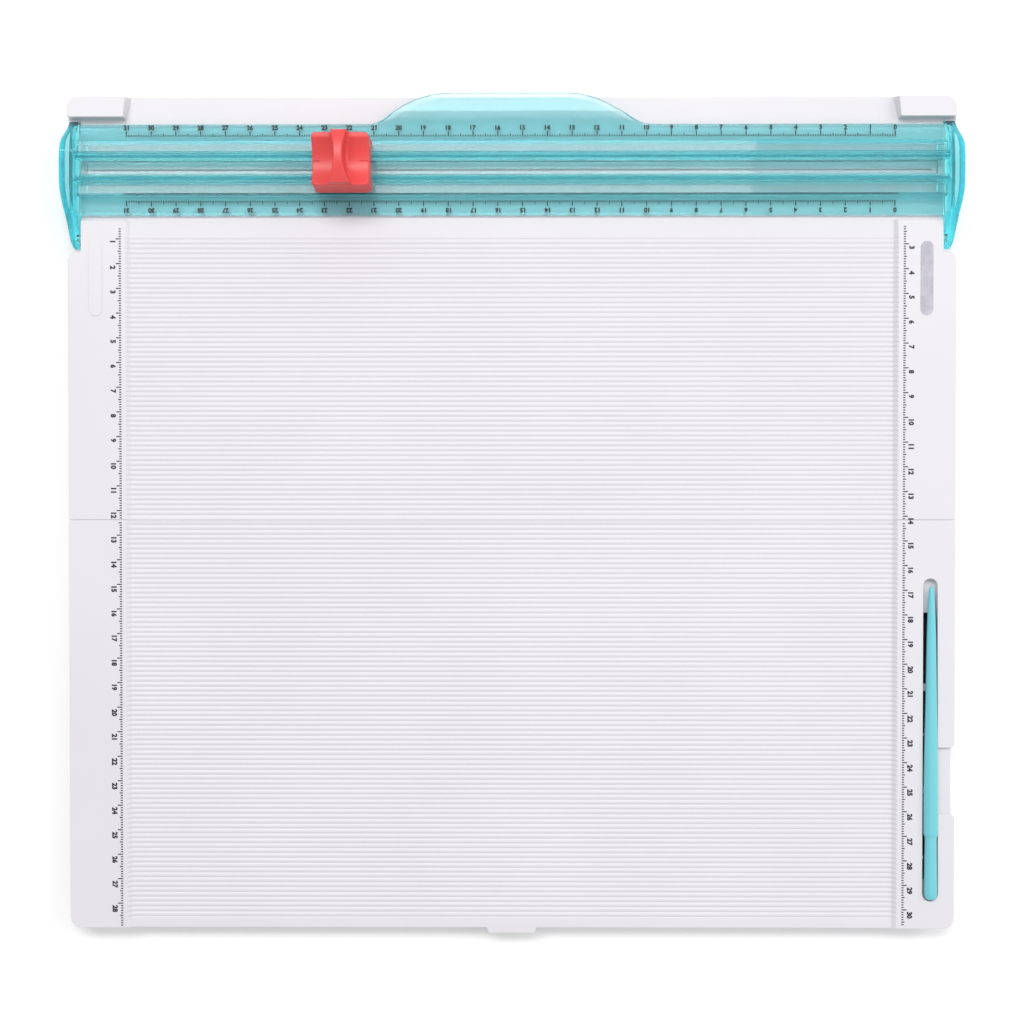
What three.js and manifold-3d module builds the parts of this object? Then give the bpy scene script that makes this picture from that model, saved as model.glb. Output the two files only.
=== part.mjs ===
// Folding trim-and-score board: a white scoring board in two hinged halves, with a clear
// blade rail hinged across the rear half, a press-down blade carriage and a scoring stylus.
// Millimetres. +X is right, +Y is to the rear, +Z is up. The origin is on the table, under
// the middle of the board.
import * as THREE from 'three';
import { mergeVertices } from 'three/addons/utils/BufferGeometryUtils.js';
import Module from 'manifold-3d';

const wasm = await Module();
wasm.setup();

// ---------------------------------------------------------------- driving dimensions

// Board, both halves
const BOARD_HALF_WIDTH = 179.75;
const BOARD_FRONT_Y = -168;
const BOARD_REAR_Y = 169.4;
const CORNER_R = 4.5;
const SEAM_Y = -1.9;
const SEAM_GAP = 0.4;
const UNDERSIDE_Z = 3;
const BORDER_Z = 12;
const BED_Z = 10.5;
const CHANNEL_HALF_WIDTH = 154.75;
const WALL = 2;
const SKIN = 2.2;
const RIB = 1.5;
const RIB_Z = 4;
const RIB_PITCH_X = 36;
const REAR_CROSS_RIBS = [34, 70, 104, 126, 156];
const FRONT_CROSS_RIBS = [-146, -110, -74, -38];
const BORDER_HOLLOW_X = 158.5;
const REAR_HALF_WIDTH = 174.6;
const ARM_RECESS_Y = [106.9, 159.6];
const RAIL_BED_Y = 119.7;
const LEDGE_Y = 160.4;

// Score grooves: V-shaped, every 2 mm, the fold seam taking the place of one of them
const GROOVE_PITCH = 2;
const GROOVE_FIRST_Y = 112.2;
const GROOVE_COUNT = 139;
const GROOVE_DEPTH = 0.4;
const GROOVE_HALF_WIDTH = 0.6;

// Raised rear corner blocks
const BLOCK_INNER_X = 156.3;
const BLOCK_FLARE = 2.2;
const BLOCK_Z = 14.7;

// Fold hinge
const FOLD_Z = 2.7;
const KNUCKLE_R = 2.4;
const KNUCKLE_RELIEF = 0.35;
const FOLD_PIN_R = 1;
const KNUCKLE_ENDS = [155.5, 163.35, 171.35, 179.2];
const SIDE_PLAY = 0.15;

// Stylus pocket and finger notch in the right border of the front half
const POCKET_X = [166.9, 173.2];
const POCKET_Y = [-156.7, -25.5];
const POCKET_WALL = 1.5;
const POCKET_FLOOR_Z = [7.6, 9];
const POCKET_REAR_X = 172.6;
const POCKET_BARS_Y = [-112, -70];
const NOTCH_Y = [-122, -93.4];
const NOTCH_DEPTH = 1.2;
const NOTCH_SHELF_Z = 10.2;
const FINGER_TAB_HALF_WIDTH = 9.75;
const FINGER_TAB_Y = -170.2;

// Stylus, a tapering rod
const STYLUS_LENGTH = 127.4;
const STYLUS_R = 2.9;

// Feet
const FOOT_R = 5;
const FOOT_STEM_R = 1.5;
const FOOT_BOSS_R = 6.2;
const REAR_FEET = { x: 158, y: [22, 150] };
const FRONT_FEET = { x: 126, y: [-150, -25] };

// Rail: a clear section along X, described by its distance v from the cut line
const CUT_Y = 139.8;
const RAIL_HALF_LENGTH = 174.7;
const RAIL_FRONT_V = -18.3;
const RAIL_REAR_V = 18.2;
const RAIL_Z = 10.8;
const FLANGE_Z = 13;
const DECK_OUTER_V = 11.2;
const DECK_WALL = 1.2;
const DECK_Z = [15, 16.2];
const RIB_OUTER_V = 5.9;
const RIB_CREST_V = 5;
const RIB_STEM_V = 4.4;
const RIB_INNER_V = 2.9;
const RIB_TOP_Z = 19.4;
const LIP_Z = [15.8, 17.2];
const WEB_Z = [11.2, 12.2];
const SLOT_HALF_WIDTH = 0.45;
const SLOT_HALF_LENGTH = 173;
const STRIP_HALF_WIDTH = 3.5;
const STRIP_HALF_LENGTH = 172;
const STRIP_Z = 8.6;

// Lift tab on the rail's rear edge
const TAB_X = [-55.8, 54.5];
const TAB_CORNERS = [{ x: -36, radius: 38 }, { x: 31, radius: 34 }];
const TAB_REAR_Y = 170.2;
const TAB_Z = [13.2, 14.8];

// Rail pivot and arched end caps
const PIVOT_Y = 113;
const PIVOT_Z = 7.6;
const PIVOT_PIN_R = 1.5;
const PIVOT_PIN_INNER_X = 168.5;
const PIVOT_LUG = { innerX: 167, halfWidth: 4 };
const ARM_TIP_R = 4.6;
const CAP_INNER_X = 175;
const CAP_OUTER_X = 180.5;
const CAP_REAR_Y = 159;
const CAP_TOP_Z = 20.2;
const CAP_WALLS = { inner: 1.4, outer: 2.4 };
const CAP_BOW = 0.5;
const TONGUE_INNER_X = 171.2;
const TONGUE_V = [6.3, 9.4];
const TONGUE_Z = [12.4, 14.6];

// Carriage, described from its own middle on the cut line
const CARRIAGE_X = -67;
const KNOB_TOP = { x: 11.2, v: 10.4 };
const KNOB_FOOT = { x: 11.6, v: 10.9 };
const KNOB_CAVITY = { x: 10.2, v: 9.4 };
const KNOB_Z = [19.4, 31];
const KNOB_CEILING_Z = 26.4;
const DISH_Z = 27.9;
const DISH_V = [-10, 8.2];
const FIN_TOP_Z = 38;
const FIN_END_Z = 35.4;
const SHOE_HALF_LENGTH = 9.7;
const SHOE_PLATE_Z = [19.8, 21.2];
const SHOE_WALL_V = [7.3, 8.3];
const SHOE_LIP_V = 9;
const SHOE_LIP_Z = [22.4, 23.6];
const KEEL = { stemV: 2.5, footV: 4, z: 13, footZ: 15.4 };
const SPRING_X = 7.2;
const SPRING_Z = [14.5, 26.1];
const SPRING_R = 1.1;
const SPRING_WIRE_R = 0.25;
const SPRING_TURNS = 6;
const SPRING_WELL_R = 1.6;
const HOLDER_HALF = { x: 4.6, v: 1.3 };
const BLADE_HALF_LENGTH = 4;
const BLADE_TIP_Z = 12.4;
const BLADE_PIN_R = 0.8;
const BLADE_PIN_Z = 19;
const PRESS_TRAVEL = 2.5;
const RUNNING_GAP = 0.06;

// ---------------------------------------------------------------- materials

const finish = (color, roughness, metalness = 0, extra = {}) =>
  new THREE.MeshStandardMaterial({ color, roughness, metalness, ...extra });
const whitePlastic = finish(0xefedf3, 0.45);
const clearBlue = finish(0x62d0e4, 0.12, 0, { transparent: true, opacity: 0.55 });
const stylusBlue = finish(0x6fd0dc, 0.3);
const redPlastic = finish(0xe8504f, 0.35);
const stripPlastic = finish(0xd9dde2, 0.5);
const shoePlastic = finish(0xf2f2f2, 0.4);
const steel = finish(0xc4c8cc, 0.25, 1);
const rubber = finish(0x8c8f94, 0.9);

// ---------------------------------------------------------------- solid helpers

function solidOf(shape) {
  if (!(shape instanceof THREE.BufferGeometry)) {
    return shape;
  }
  const bare = shape.clone();
  bare.deleteAttribute('normal');
  bare.deleteAttribute('uv');
  const merged = mergeVertices(bare, 1e-5);
  const triangles = [];
  for (let i = 0; i < merged.index.count; i += 3) {
    const corners = [0, 1, 2].map((k) => merged.index.getX(i + k));
    if (new Set(corners).size === 3) {
      triangles.push(...corners);
    }
  }
  const vertProperties = new Float32Array(merged.attributes.position.array);
  const triVerts = new Uint32Array(triangles);
  return new wasm.Manifold(new wasm.Mesh({ numProp: 3, vertProperties, triVerts }));
}

const join = (...shapes) => shapes.map(solidOf).reduce((a, b) => a.add(b));
const cut = (body, ...tools) => tools.map(solidOf).reduce((a, b) => a.subtract(b), solidOf(body));
const common = (...shapes) => shapes.map(solidOf).reduce((a, b) => a.intersect(b));

function meshOf(name, shape, material) {
  const { vertProperties, triVerts } = solidOf(shape).getMesh();
  const geometry = new THREE.BufferGeometry();
  geometry.setAttribute('position', new THREE.BufferAttribute(vertProperties, 3));
  geometry.setIndex(new THREE.BufferAttribute(triVerts, 1));
  geometry.computeVertexNormals();
  const mesh = new THREE.Mesh(geometry, material);
  mesh.name = name;
  return mesh;
}

// ---------------------------------------------------------------- shape helpers

function box(x, y, z) {
  const geometry = new THREE.BoxGeometry(x[1] - x[0], y[1] - y[0], z[1] - z[0]);
  return geometry.translate((x[0] + x[1]) / 2, (y[0] + y[1]) / 2, (z[0] + z[1]) / 2);
}

// A range [near, far] of distances from the middle, on the right (+1) or left (-1)
const onSide = (side, [near, far]) => (side > 0 ? [near, far] : [-far, -near]);

// Corners are [x, y, radius]; each one is rounded with an arc of that radius
function outline(corners, segments = 4) {
  const points = [];
  corners.forEach(([x, y, radius], i) => {
    const corner = new THREE.Vector2(x, y);
    if (!radius) {
      points.push(corner);
      return;
    }
    const before = corners[(i + corners.length - 1) % corners.length];
    const after = corners[(i + 1) % corners.length];
    const back = new THREE.Vector2(before[0], before[1]).sub(corner).normalize();
    const ahead = new THREE.Vector2(after[0], after[1]).sub(corner).normalize();
    const half = Math.acos(THREE.MathUtils.clamp(back.dot(ahead), -1, 1)) / 2;
    const middle = back.clone().add(ahead).normalize();
    const centre = corner.clone().addScaledVector(middle, radius / Math.sin(half));
    const first = corner.clone().addScaledVector(back, radius / Math.tan(half)).sub(centre);
    const last = corner.clone().addScaledVector(ahead, radius / Math.tan(half)).sub(centre);
    const sweep = Math.atan2(first.cross(last), first.dot(last));
    for (let k = 0; k <= segments; k += 1) {
      const turned = first.clone().rotateAround(new THREE.Vector2(), (sweep * k) / segments);
      points.push(turned.add(centre));
    }
  });
  return points;
}

function extrude(points, depth) {
  return new THREE.ExtrudeGeometry(new THREE.Shape(points), { depth, bevelEnabled: false });
}

// Outline in X and Y, standing from z[0] to z[1]
const prismZ = (points, z) => extrude(points, z[1] - z[0]).translate(0, 0, z[0]);

const alongX = new THREE.Matrix4().makeBasis(
  new THREE.Vector3(0, 1, 0),
  new THREE.Vector3(0, 0, 1),
  new THREE.Vector3(1, 0, 0),
);
const alongY = new THREE.Matrix4().makeBasis(
  new THREE.Vector3(1, 0, 0),
  new THREE.Vector3(0, 0, 1),
  new THREE.Vector3(0, -1, 0),
);

// Outline in Y and Z, running from x[0] to x[1]
const prismX = (points, x) => extrude(points, x[1] - x[0]).applyMatrix4(alongX).translate(x[0], 0, 0);

// Outline in X and Z, running from y[0] to y[1]
const prismY = (points, y) => extrude(points, y[1] - y[0]).applyMatrix4(alongY).translate(0, y[1], 0);

const pointsOf = (pairs) => pairs.map(([a, b]) => new THREE.Vector2(a, b));

function rodX(radius, x, y, z, segments = 16) {
  const rod = new THREE.CylinderGeometry(radius, radius, x[1] - x[0], segments);
  return rod.rotateZ(-Math.PI / 2).translate((x[0] + x[1]) / 2, y, z);
}

function rodZ(radius, x, y, z, segments = 12) {
  const rod = new THREE.CylinderGeometry(radius, radius, z[1] - z[0], segments);
  return rod.rotateX(Math.PI / 2).translate(x, y, (z[0] + z[1]) / 2);
}

// Profile of [radius, height] pairs turned about +Z, from the axis at the bottom to the top
function turned(profile, segments) {
  return new THREE.LatheGeometry(pointsOf(profile), segments).rotateX(Math.PI / 2);
}

// Skin over rings of points, each ring anticlockwise about the direction of travel
function loft(rings) {
  const count = rings[0].length;
  const last = (rings.length - 1) * count;
  const indices = [];
  for (let start = 0; start < last; start += count) {
    for (let side = 0; side < count; side += 1) {
      const here = start + side;
      const next = start + ((side + 1) % count);
      indices.push(here, next, here + count, next, next + count, here + count);
    }
  }
  for (let side = 1; side < count - 1; side += 1) {
    indices.push(0, side + 1, side, last, last + side, last + side + 1);
  }
  const geometry = new THREE.BufferGeometry().setFromPoints(rings.flat());
  return geometry.setIndex(indices);
}

// ---------------------------------------------------------------- board, both halves

// The shallow paper channel with its sloping sides, running front to rear
function channel(y) {
  const slope = BORDER_Z - BED_Z + 1;
  const wide = CHANNEL_HALF_WIDTH + slope;
  const top = BED_Z + slope;
  const section = [[-CHANNEL_HALF_WIDTH, BED_Z], [CHANNEL_HALF_WIDTH, BED_Z], [wide, top], [-wide, top]];
  return prismY(pointsOf(section), y);
}

// One score groove: a V that follows the channel floor, climbs its sides and fades out
function scoreGroove(y) {
  const rise = 0.3;
  const spread = (GROOVE_HALF_WIDTH * (GROOVE_DEPTH + rise)) / GROOVE_DEPTH;
  const climb = BORDER_Z - BED_Z + GROOVE_DEPTH + 0.05;
  const stations = [
    [-CHANNEL_HALF_WIDTH - climb, BED_Z + climb],
    [-CHANNEL_HALF_WIDTH, BED_Z],
    [CHANNEL_HALF_WIDTH, BED_Z],
    [CHANNEL_HALF_WIDTH + climb, BED_Z + climb],
  ];
  return loft(stations.map(([x, z]) => [
    new THREE.Vector3(x, y, z - GROOVE_DEPTH),
    new THREE.Vector3(x, y + spread, z + rise),
    new THREE.Vector3(x, y - spread, z + rise),
  ]));
}

function scoreGrooves(y) {
  const grooves = [];
  for (let i = 0; i < GROOVE_COUNT; i += 1) {
    const at = GROOVE_FIRST_Y - i * GROOVE_PITCH;
    if (at > y[0] && at < y[1]) {
      grooves.push(scoreGroove(at));
    }
  }
  return join(...grooves);
}

// Stiffening ribs under the skin: a grid of thin walls inside the box x, y
function ribGrid(x, y, crossRibs) {
  const z = [RIB_Z, BED_Z - SKIN + 0.3];
  const ribs = crossRibs.map((at) => box(x, [at - RIB / 2, at + RIB / 2], z));
  for (let at = -4 * RIB_PITCH_X; at <= 4 * RIB_PITCH_X; at += RIB_PITCH_X) {
    ribs.push(box([at - RIB / 2, at + RIB / 2], y, z));
  }
  return join(...ribs);
}

const footPlaces = ({ x, y }) => [-x, x].flatMap((atX) => y.map((atY) => [atX, atY]));

function footBosses(feet) {
  const z = [UNDERSIDE_Z, BED_Z - 1];
  return join(...footPlaces(feet).map(([x, y]) => rodZ(FOOT_BOSS_R, x, y, z)));
}

function footSockets(feet) {
  const z = [UNDERSIDE_Z - 1, UNDERSIDE_Z + 3.5];
  return join(...footPlaces(feet).map(([x, y]) => rodZ(FOOT_STEM_R + 0.3, x, y, z, 8)));
}

// Knuckles [first, second, third] from the middle outwards; the outer two are the rear half's
const knuckleSpans = [0, 1, 2].map((i) => [KNUCKLE_ENDS[i] + SIDE_PLAY, KNUCKLE_ENDS[i + 1] - SIDE_PLAY]);
const rearKnuckles = [knuckleSpans[0], knuckleSpans[2]];
const frontKnuckles = [knuckleSpans[1]];

// Each knuckle is a barrel on the fold axis with a foot that joins its own half's seam wall
function knuckles(spans, toRear) {
  const far = SEAM_Y + toRear * (SEAM_GAP / 2 + WALL);
  const y = [Math.min(SEAM_Y, far), Math.max(SEAM_Y, far)];
  const parts = [-1, 1].flatMap((side) => spans.flatMap((span) => {
    const x = onSide(side, span);
    return [rodX(KNUCKLE_R, x, SEAM_Y, FOLD_Z), box(x, y, [FOLD_Z, FOLD_Z + KNUCKLE_R])];
  }));
  return join(...parts);
}

function knuckleReliefs(spans) {
  const parts = [-1, 1].flatMap((side) => spans.map(([near, far]) => {
    const reach = far + 2 * SIDE_PLAY;
    const open = reach > BOARD_HALF_WIDTH - WALL ? BOARD_HALF_WIDTH + 1 : reach;
    const x = onSide(side, [near - 2 * SIDE_PLAY, open]);
    return rodX(KNUCKLE_R + KNUCKLE_RELIEF, x, SEAM_Y, FOLD_Z);
  }));
  return join(...parts);
}

// Bores fit a round pin: the facets are set out so that their flats clear it
function boreX(pinRadius, x, y, z, segments = 12) {
  return rodX((pinRadius + RUNNING_GAP) / Math.cos(Math.PI / segments), x, y, z, segments);
}

function foldBores() {
  const span = [KNUCKLE_ENDS[0] - 1, KNUCKLE_ENDS[3] + 1];
  return join(...[-1, 1].map((side) => boreX(FOLD_PIN_R, onSide(side, span), SEAM_Y, FOLD_Z)));
}

// ---------------------------------------------------------------- rear half

const seamRearY = SEAM_Y + SEAM_GAP / 2;
const seamFrontY = SEAM_Y - SEAM_GAP / 2;

function rearOutline() {
  const right = [
    [BOARD_HALF_WIDTH, seamRearY, 0],
    [BOARD_HALF_WIDTH, ARM_RECESS_Y[0], 3.5],
    [REAR_HALF_WIDTH, ARM_RECESS_Y[0], 0],
    [REAR_HALF_WIDTH, ARM_RECESS_Y[1], 0],
    [BOARD_HALF_WIDTH, ARM_RECESS_Y[1], 0],
    [BOARD_HALF_WIDTH, BOARD_REAR_Y, CORNER_R],
  ];
  const left = right.map(([x, y, radius]) => [-x, y, radius]).reverse();
  return outline([...right, ...left]);
}

function rearHollow() {
  const y = [seamRearY + WALL, BOARD_REAR_Y - WALL];
  const deepZ = [UNDERSIDE_Z - 1, BED_Z - SKIN];
  const borderZ = [UNDERSIDE_Z - 1, BORDER_Z - SKIN];
  const main = box([WALL - REAR_HALF_WIDTH, REAR_HALF_WIDTH - WALL], y, deepZ);
  const borders = [-1, 1].flatMap((side) => [
    box(onSide(side, [BORDER_HOLLOW_X, BOARD_HALF_WIDTH - WALL]), [y[0], ARM_RECESS_Y[0] - WALL], borderZ),
    box(onSide(side, [BORDER_HOLLOW_X, REAR_HALF_WIDTH - WALL]), [y[0], RAIL_BED_Y - WALL], borderZ),
  ]);
  return join(main, ...borders);
}

// A raised corner block, drafted on every side, with its inner side flared to the rear
function cornerBlock(side) {
  const draft = 0.7;
  const base = [
    [BLOCK_INNER_X, LEDGE_Y, 0],
    [BOARD_HALF_WIDTH, LEDGE_Y, 1],
    [BOARD_HALF_WIDTH, BOARD_REAR_Y, CORNER_R],
    [BLOCK_INNER_X - BLOCK_FLARE, BOARD_REAR_Y, 0],
  ];
  const top = [
    [BLOCK_INNER_X + 0.2, LEDGE_Y + 0.2, 0],
    [BOARD_HALF_WIDTH - draft, LEDGE_Y + 0.2, 1],
    [BOARD_HALF_WIDTH - draft, BOARD_REAR_Y - draft, CORNER_R - 0.2],
    [BLOCK_INNER_X - 0.6, BOARD_REAR_Y - draft, 0],
  ];
  const ring = (corners, z) => {
    const points = outline(corners).map((p) => new THREE.Vector3(side * p.x, p.y, z));
    return side > 0 ? points : points.reverse();
  };
  return loft([ring(base, BED_Z - 1), ring(base, BED_Z), ring(top, BLOCK_Z)]);
}

// A solid lug inside each side wall carries the rail's pivot pin
function pivotLug(side) {
  const { innerX, halfWidth } = PIVOT_LUG;
  const y = [PIVOT_Y - halfWidth, PIVOT_Y + halfWidth];
  return box(onSide(side, [innerX, REAR_HALF_WIDTH - 0.5]), y, [UNDERSIDE_Z, BORDER_Z - 1]);
}

function rearHalf() {
  const slab = prismZ(rearOutline(), [UNDERSIDE_Z, BORDER_Z]);
  const beyond = [seamRearY - 1, BOARD_REAR_Y + 1];
  const railBed = box(
    [-BOARD_HALF_WIDTH - 1, BOARD_HALF_WIDTH + 1],
    [RAIL_BED_Y, beyond[1]],
    [BED_Z, BORDER_Z + 1],
  );
  const stripSlot = box(
    [-STRIP_HALF_LENGTH - 0.3, STRIP_HALF_LENGTH + 0.3],
    [CUT_Y - STRIP_HALF_WIDTH - 0.3, CUT_Y + STRIP_HALF_WIDTH + 0.3],
    [STRIP_Z - 0.3, BED_Z + 1],
  );
  const stripBacking = box(
    [-REAR_HALF_WIDTH + 1, REAR_HALF_WIDTH - 1],
    [CUT_Y - STRIP_HALF_WIDTH - 2, CUT_Y + STRIP_HALF_WIDTH + 2],
    [STRIP_Z - 1.8, BED_Z - 1],
  );
  const inner = [1 - REAR_HALF_WIDTH, REAR_HALF_WIDTH - 1];
  const body = join(
    cut(slab, channel(beyond), railBed, rearHollow()),
    ribGrid(inner, [seamRearY + 1, BOARD_REAR_Y - 1], REAR_CROSS_RIBS),
    stripBacking,
    footBosses(REAR_FEET),
    cornerBlock(-1),
    cornerBlock(1),
    pivotLug(-1),
    pivotLug(1),
  );
  const pinSpan = [PIVOT_PIN_INNER_X - 0.5, REAR_HALF_WIDTH + 1];
  return cut(
    join(cut(body, knuckleReliefs(frontKnuckles)), knuckles(rearKnuckles, 1)),
    stripSlot,
    scoreGrooves([seamRearY + 1, RAIL_BED_Y]),
    footSockets(REAR_FEET),
    foldBores(),
    boreX(PIVOT_PIN_R, onSide(1, pinSpan), PIVOT_Y, PIVOT_Z),
    boreX(PIVOT_PIN_R, onSide(-1, pinSpan), PIVOT_Y, PIVOT_Z),
  );
}

function cuttingStrip() {
  const strip = box(
    [-STRIP_HALF_LENGTH, STRIP_HALF_LENGTH],
    [CUT_Y - STRIP_HALF_WIDTH, CUT_Y + STRIP_HALF_WIDTH],
    [STRIP_Z, BED_Z - 0.05],
  );
  const grooveX = [-STRIP_HALF_LENGTH + 2, STRIP_HALF_LENGTH - 2];
  const groove = box(grooveX, [CUT_Y - 0.5, CUT_Y + 0.5], [STRIP_Z + 0.7, BED_Z + 1]);
  return cut(strip, groove);
}

// ---------------------------------------------------------------- front half

function frontOutline() {
  const edge = BOARD_HALF_WIDTH - NOTCH_DEPTH;
  return outline([
    [BOARD_HALF_WIDTH, seamFrontY, 0],
    [-BOARD_HALF_WIDTH, seamFrontY, 0],
    [-BOARD_HALF_WIDTH, BOARD_FRONT_Y, CORNER_R],
    [-FINGER_TAB_HALF_WIDTH, BOARD_FRONT_Y, 0.8],
    [-FINGER_TAB_HALF_WIDTH, FINGER_TAB_Y, 1.3],
    [FINGER_TAB_HALF_WIDTH, FINGER_TAB_Y, 1.3],
    [FINGER_TAB_HALF_WIDTH, BOARD_FRONT_Y, 0.8],
    [BOARD_HALF_WIDTH, BOARD_FRONT_Y, CORNER_R],
    [BOARD_HALF_WIDTH, NOTCH_Y[0], 0.6],
    [edge, NOTCH_Y[0], 0.5],
    [edge, NOTCH_Y[1], 0.5],
    [BOARD_HALF_WIDTH, NOTCH_Y[1], 0.6],
  ]);
}

function frontHollow() {
  const y = [BOARD_FRONT_Y + WALL, seamFrontY - WALL];
  const x = BOARD_HALF_WIDTH - WALL - NOTCH_DEPTH;
  const main = box([-x, x], y, [UNDERSIDE_Z - 1, BED_Z - SKIN]);
  const borders = [-1, 1].map((side) =>
    box(onSide(side, [BORDER_HOLLOW_X, x]), y, [UNDERSIDE_Z - 1, BORDER_Z - SKIN]));
  return join(main, ...borders);
}

// Rounded at both ends, and a little narrower at the rear, where the stylus tapers
function pocketOutline(grow) {
  const x = [POCKET_X[0] - grow, POCKET_X[1] + grow];
  const y = [POCKET_Y[0] - grow, POCKET_Y[1] + grow];
  const rearX = POCKET_REAR_X + grow;
  const frontR = (x[1] - x[0]) / 2 - 0.05;
  const rearR = (rearX - x[0]) / 2 - 0.05;
  return outline([[x[0], y[0], frontR], [x[1], y[0], frontR], [rearX, y[1], rearR], [x[0], y[1], rearR]]);
}

// The pocket has a floor at both ends and two bars across it; the rest is open below
function pocketOpenings() {
  const bar = 1.5;
  const ends = [POCKET_Y[0] + 8, POCKET_Y[1] - 14];
  const sides = POCKET_BARS_Y.flatMap((at) => [at - bar, at + bar]);
  const stops = [ends[0], ...sides, ends[1]];
  const z = [UNDERSIDE_Z - 1, POCKET_FLOOR_Z[1] + 0.1];
  return join(...[0, 2, 4].map((i) => box(POCKET_X, [stops[i], stops[i + 1]], z)));
}

function frontHalf() {
  const slab = prismZ(frontOutline(), [UNDERSIDE_Z, BORDER_Z]);
  const beyond = [FINGER_TAB_Y - 1, seamFrontY + 1];
  const inner = 1 + NOTCH_DEPTH - BOARD_HALF_WIDTH;
  const pocketWalls = prismZ(pocketOutline(POCKET_WALL), [POCKET_FLOOR_Z[0], BORDER_Z - 1]);
  const shelfX = [POCKET_X[1] - 0.5, BOARD_HALF_WIDTH - NOTCH_DEPTH - 0.5];
  const shelf = box(shelfX, [NOTCH_Y[0] - 1, NOTCH_Y[1] + 1], [NOTCH_SHELF_Z - 1.8, BORDER_Z - 1]);
  const body = join(
    cut(slab, channel(beyond), frontHollow()),
    ribGrid([inner, POCKET_X[0] - 1], [BOARD_FRONT_Y + 1, seamFrontY - 1], FRONT_CROSS_RIBS),
    footBosses(FRONT_FEET),
    pocketWalls,
    shelf,
  );
  const scoop = box(
    [POCKET_X[1] - 0.5, BOARD_HALF_WIDTH + 1],
    [NOTCH_Y[0] + 0.8, NOTCH_Y[1] - 0.8],
    [NOTCH_SHELF_Z, BORDER_Z + 1],
  );
  return cut(
    join(cut(body, knuckleReliefs(rearKnuckles)), knuckles(frontKnuckles, -1)),
    scoreGrooves([BOARD_FRONT_Y, seamFrontY - 1]),
    prismZ(pocketOutline(0), [POCKET_FLOOR_Z[1], BORDER_Z + 1]),
    pocketOpenings(),
    scoop,
    footSockets(FRONT_FEET),
    foldBores(),
  );
}

// ---------------------------------------------------------------- stylus

// A tapering round rod: a blunt slimmer handle, a collar step, and a rounded nib at the rear
function stylus() {
  const profile = [
    [0, 0],
    [1.9, 0.3],
    [2.5, 1.4],
    [2.6, 4],
    [2.35, 25],
    [STYLUS_R, 27],
    [STYLUS_R, 45],
    [2.6, 65],
    [2.2, 85],
    [1.85, 108],
    [1.35, 120],
    [0.95, STYLUS_LENGTH - 1],
    [0.5, STYLUS_LENGTH - 0.2],
    [0, STYLUS_LENGTH],
  ];
  return turned(profile, 12).rotateX(-Math.PI / 2);
}

// ---------------------------------------------------------------- feet and pins

// Push-in foot: a pad with a stem that goes up into its boss
function foot() {
  const pad = UNDERSIDE_Z - 0.3;
  const stemZ = UNDERSIDE_Z + 3;
  const padProfile = [[0, 0], [FOOT_R, 0], [FOOT_R, pad]];
  const stemProfile = [[FOOT_STEM_R, pad], [FOOT_STEM_R, stemZ], [0, stemZ]];
  return turned([...padProfile, ...stemProfile], 12);
}

// ---------------------------------------------------------------- rail

function railSection() {
  const front = [
    [RAIL_FRONT_V, RAIL_Z],
    [RAIL_FRONT_V, FLANGE_Z - 0.9],
    [RAIL_FRONT_V + 0.9, FLANGE_Z],
  ];
  const rear = [
    [RAIL_REAR_V, FLANGE_Z - 0.3],
    [RAIL_REAR_V, RAIL_Z],
  ];
  // From the flange in to the slot web, for one side of the cut line
  const upper = [
    [DECK_OUTER_V, FLANGE_Z],
    [DECK_OUTER_V, DECK_Z[1]],
    [RIB_OUTER_V, DECK_Z[1]],
    [RIB_OUTER_V, RIB_TOP_Z],
    [RIB_CREST_V, RIB_TOP_Z],
    [RIB_INNER_V, LIP_Z[1]],
    [RIB_INNER_V, LIP_Z[0]],
    [RIB_STEM_V, LIP_Z[0]],
    [RIB_STEM_V, WEB_Z[1]],
  ];
  const lower = [
    [RIB_STEM_V, WEB_Z[0]],
    [RIB_STEM_V, RAIL_Z],
    [RIB_OUTER_V, RAIL_Z],
    [RIB_OUTER_V, DECK_Z[0]],
    [DECK_OUTER_V - DECK_WALL, DECK_Z[0]],
    [DECK_OUTER_V - DECK_WALL, RAIL_Z],
  ];
  const mirrored = (pairs) => pairs.map(([v, z]) => [-v, z]);
  const section = [
    ...front,
    ...mirrored(upper),
    ...upper.slice().reverse(),
    ...rear,
    ...lower.slice().reverse(),
    ...mirrored(lower),
  ];
  return pointsOf(section.map(([v, z]) => [CUT_Y + v, z]));
}

// The lift tab: a rounded trapezoid that rises from the rear flange and levels out
function liftTab() {
  const rootY = CUT_Y + RAIL_REAR_V - 0.2;
  const plan = outline([
    [TAB_X[0], rootY - 1, 0],
    [TAB_X[1], rootY - 1, 0],
    [TAB_X[1], rootY, 0],
    [TAB_CORNERS[1].x, TAB_REAR_Y, TAB_CORNERS[1].radius],
    [TAB_CORNERS[0].x, TAB_REAR_Y, TAB_CORNERS[0].radius],
    [TAB_X[0], rootY, 0],
  ], 10);
  const slab = extrude(plan, 6);
  const section = [
    [rootY - 1, RAIL_Z],
    [rootY + 1, RAIL_Z],
    [rootY + 4.6, TAB_Z[0]],
    [TAB_REAR_Y + 1, TAB_Z[0]],
    [TAB_REAR_Y + 1, TAB_Z[1]],
    [rootY + 4.2, TAB_Z[1]],
    [rootY + 0.6, FLANGE_Z - 0.1],
    [rootY - 1, FLANGE_Z - 0.1],
  ];
  const curve = prismX(pointsOf(section), [TAB_X[0] - 1, TAB_X[1] + 1]);
  return common(slab.translate(0, 0, RAIL_Z - 0.5), curve);
}

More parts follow.
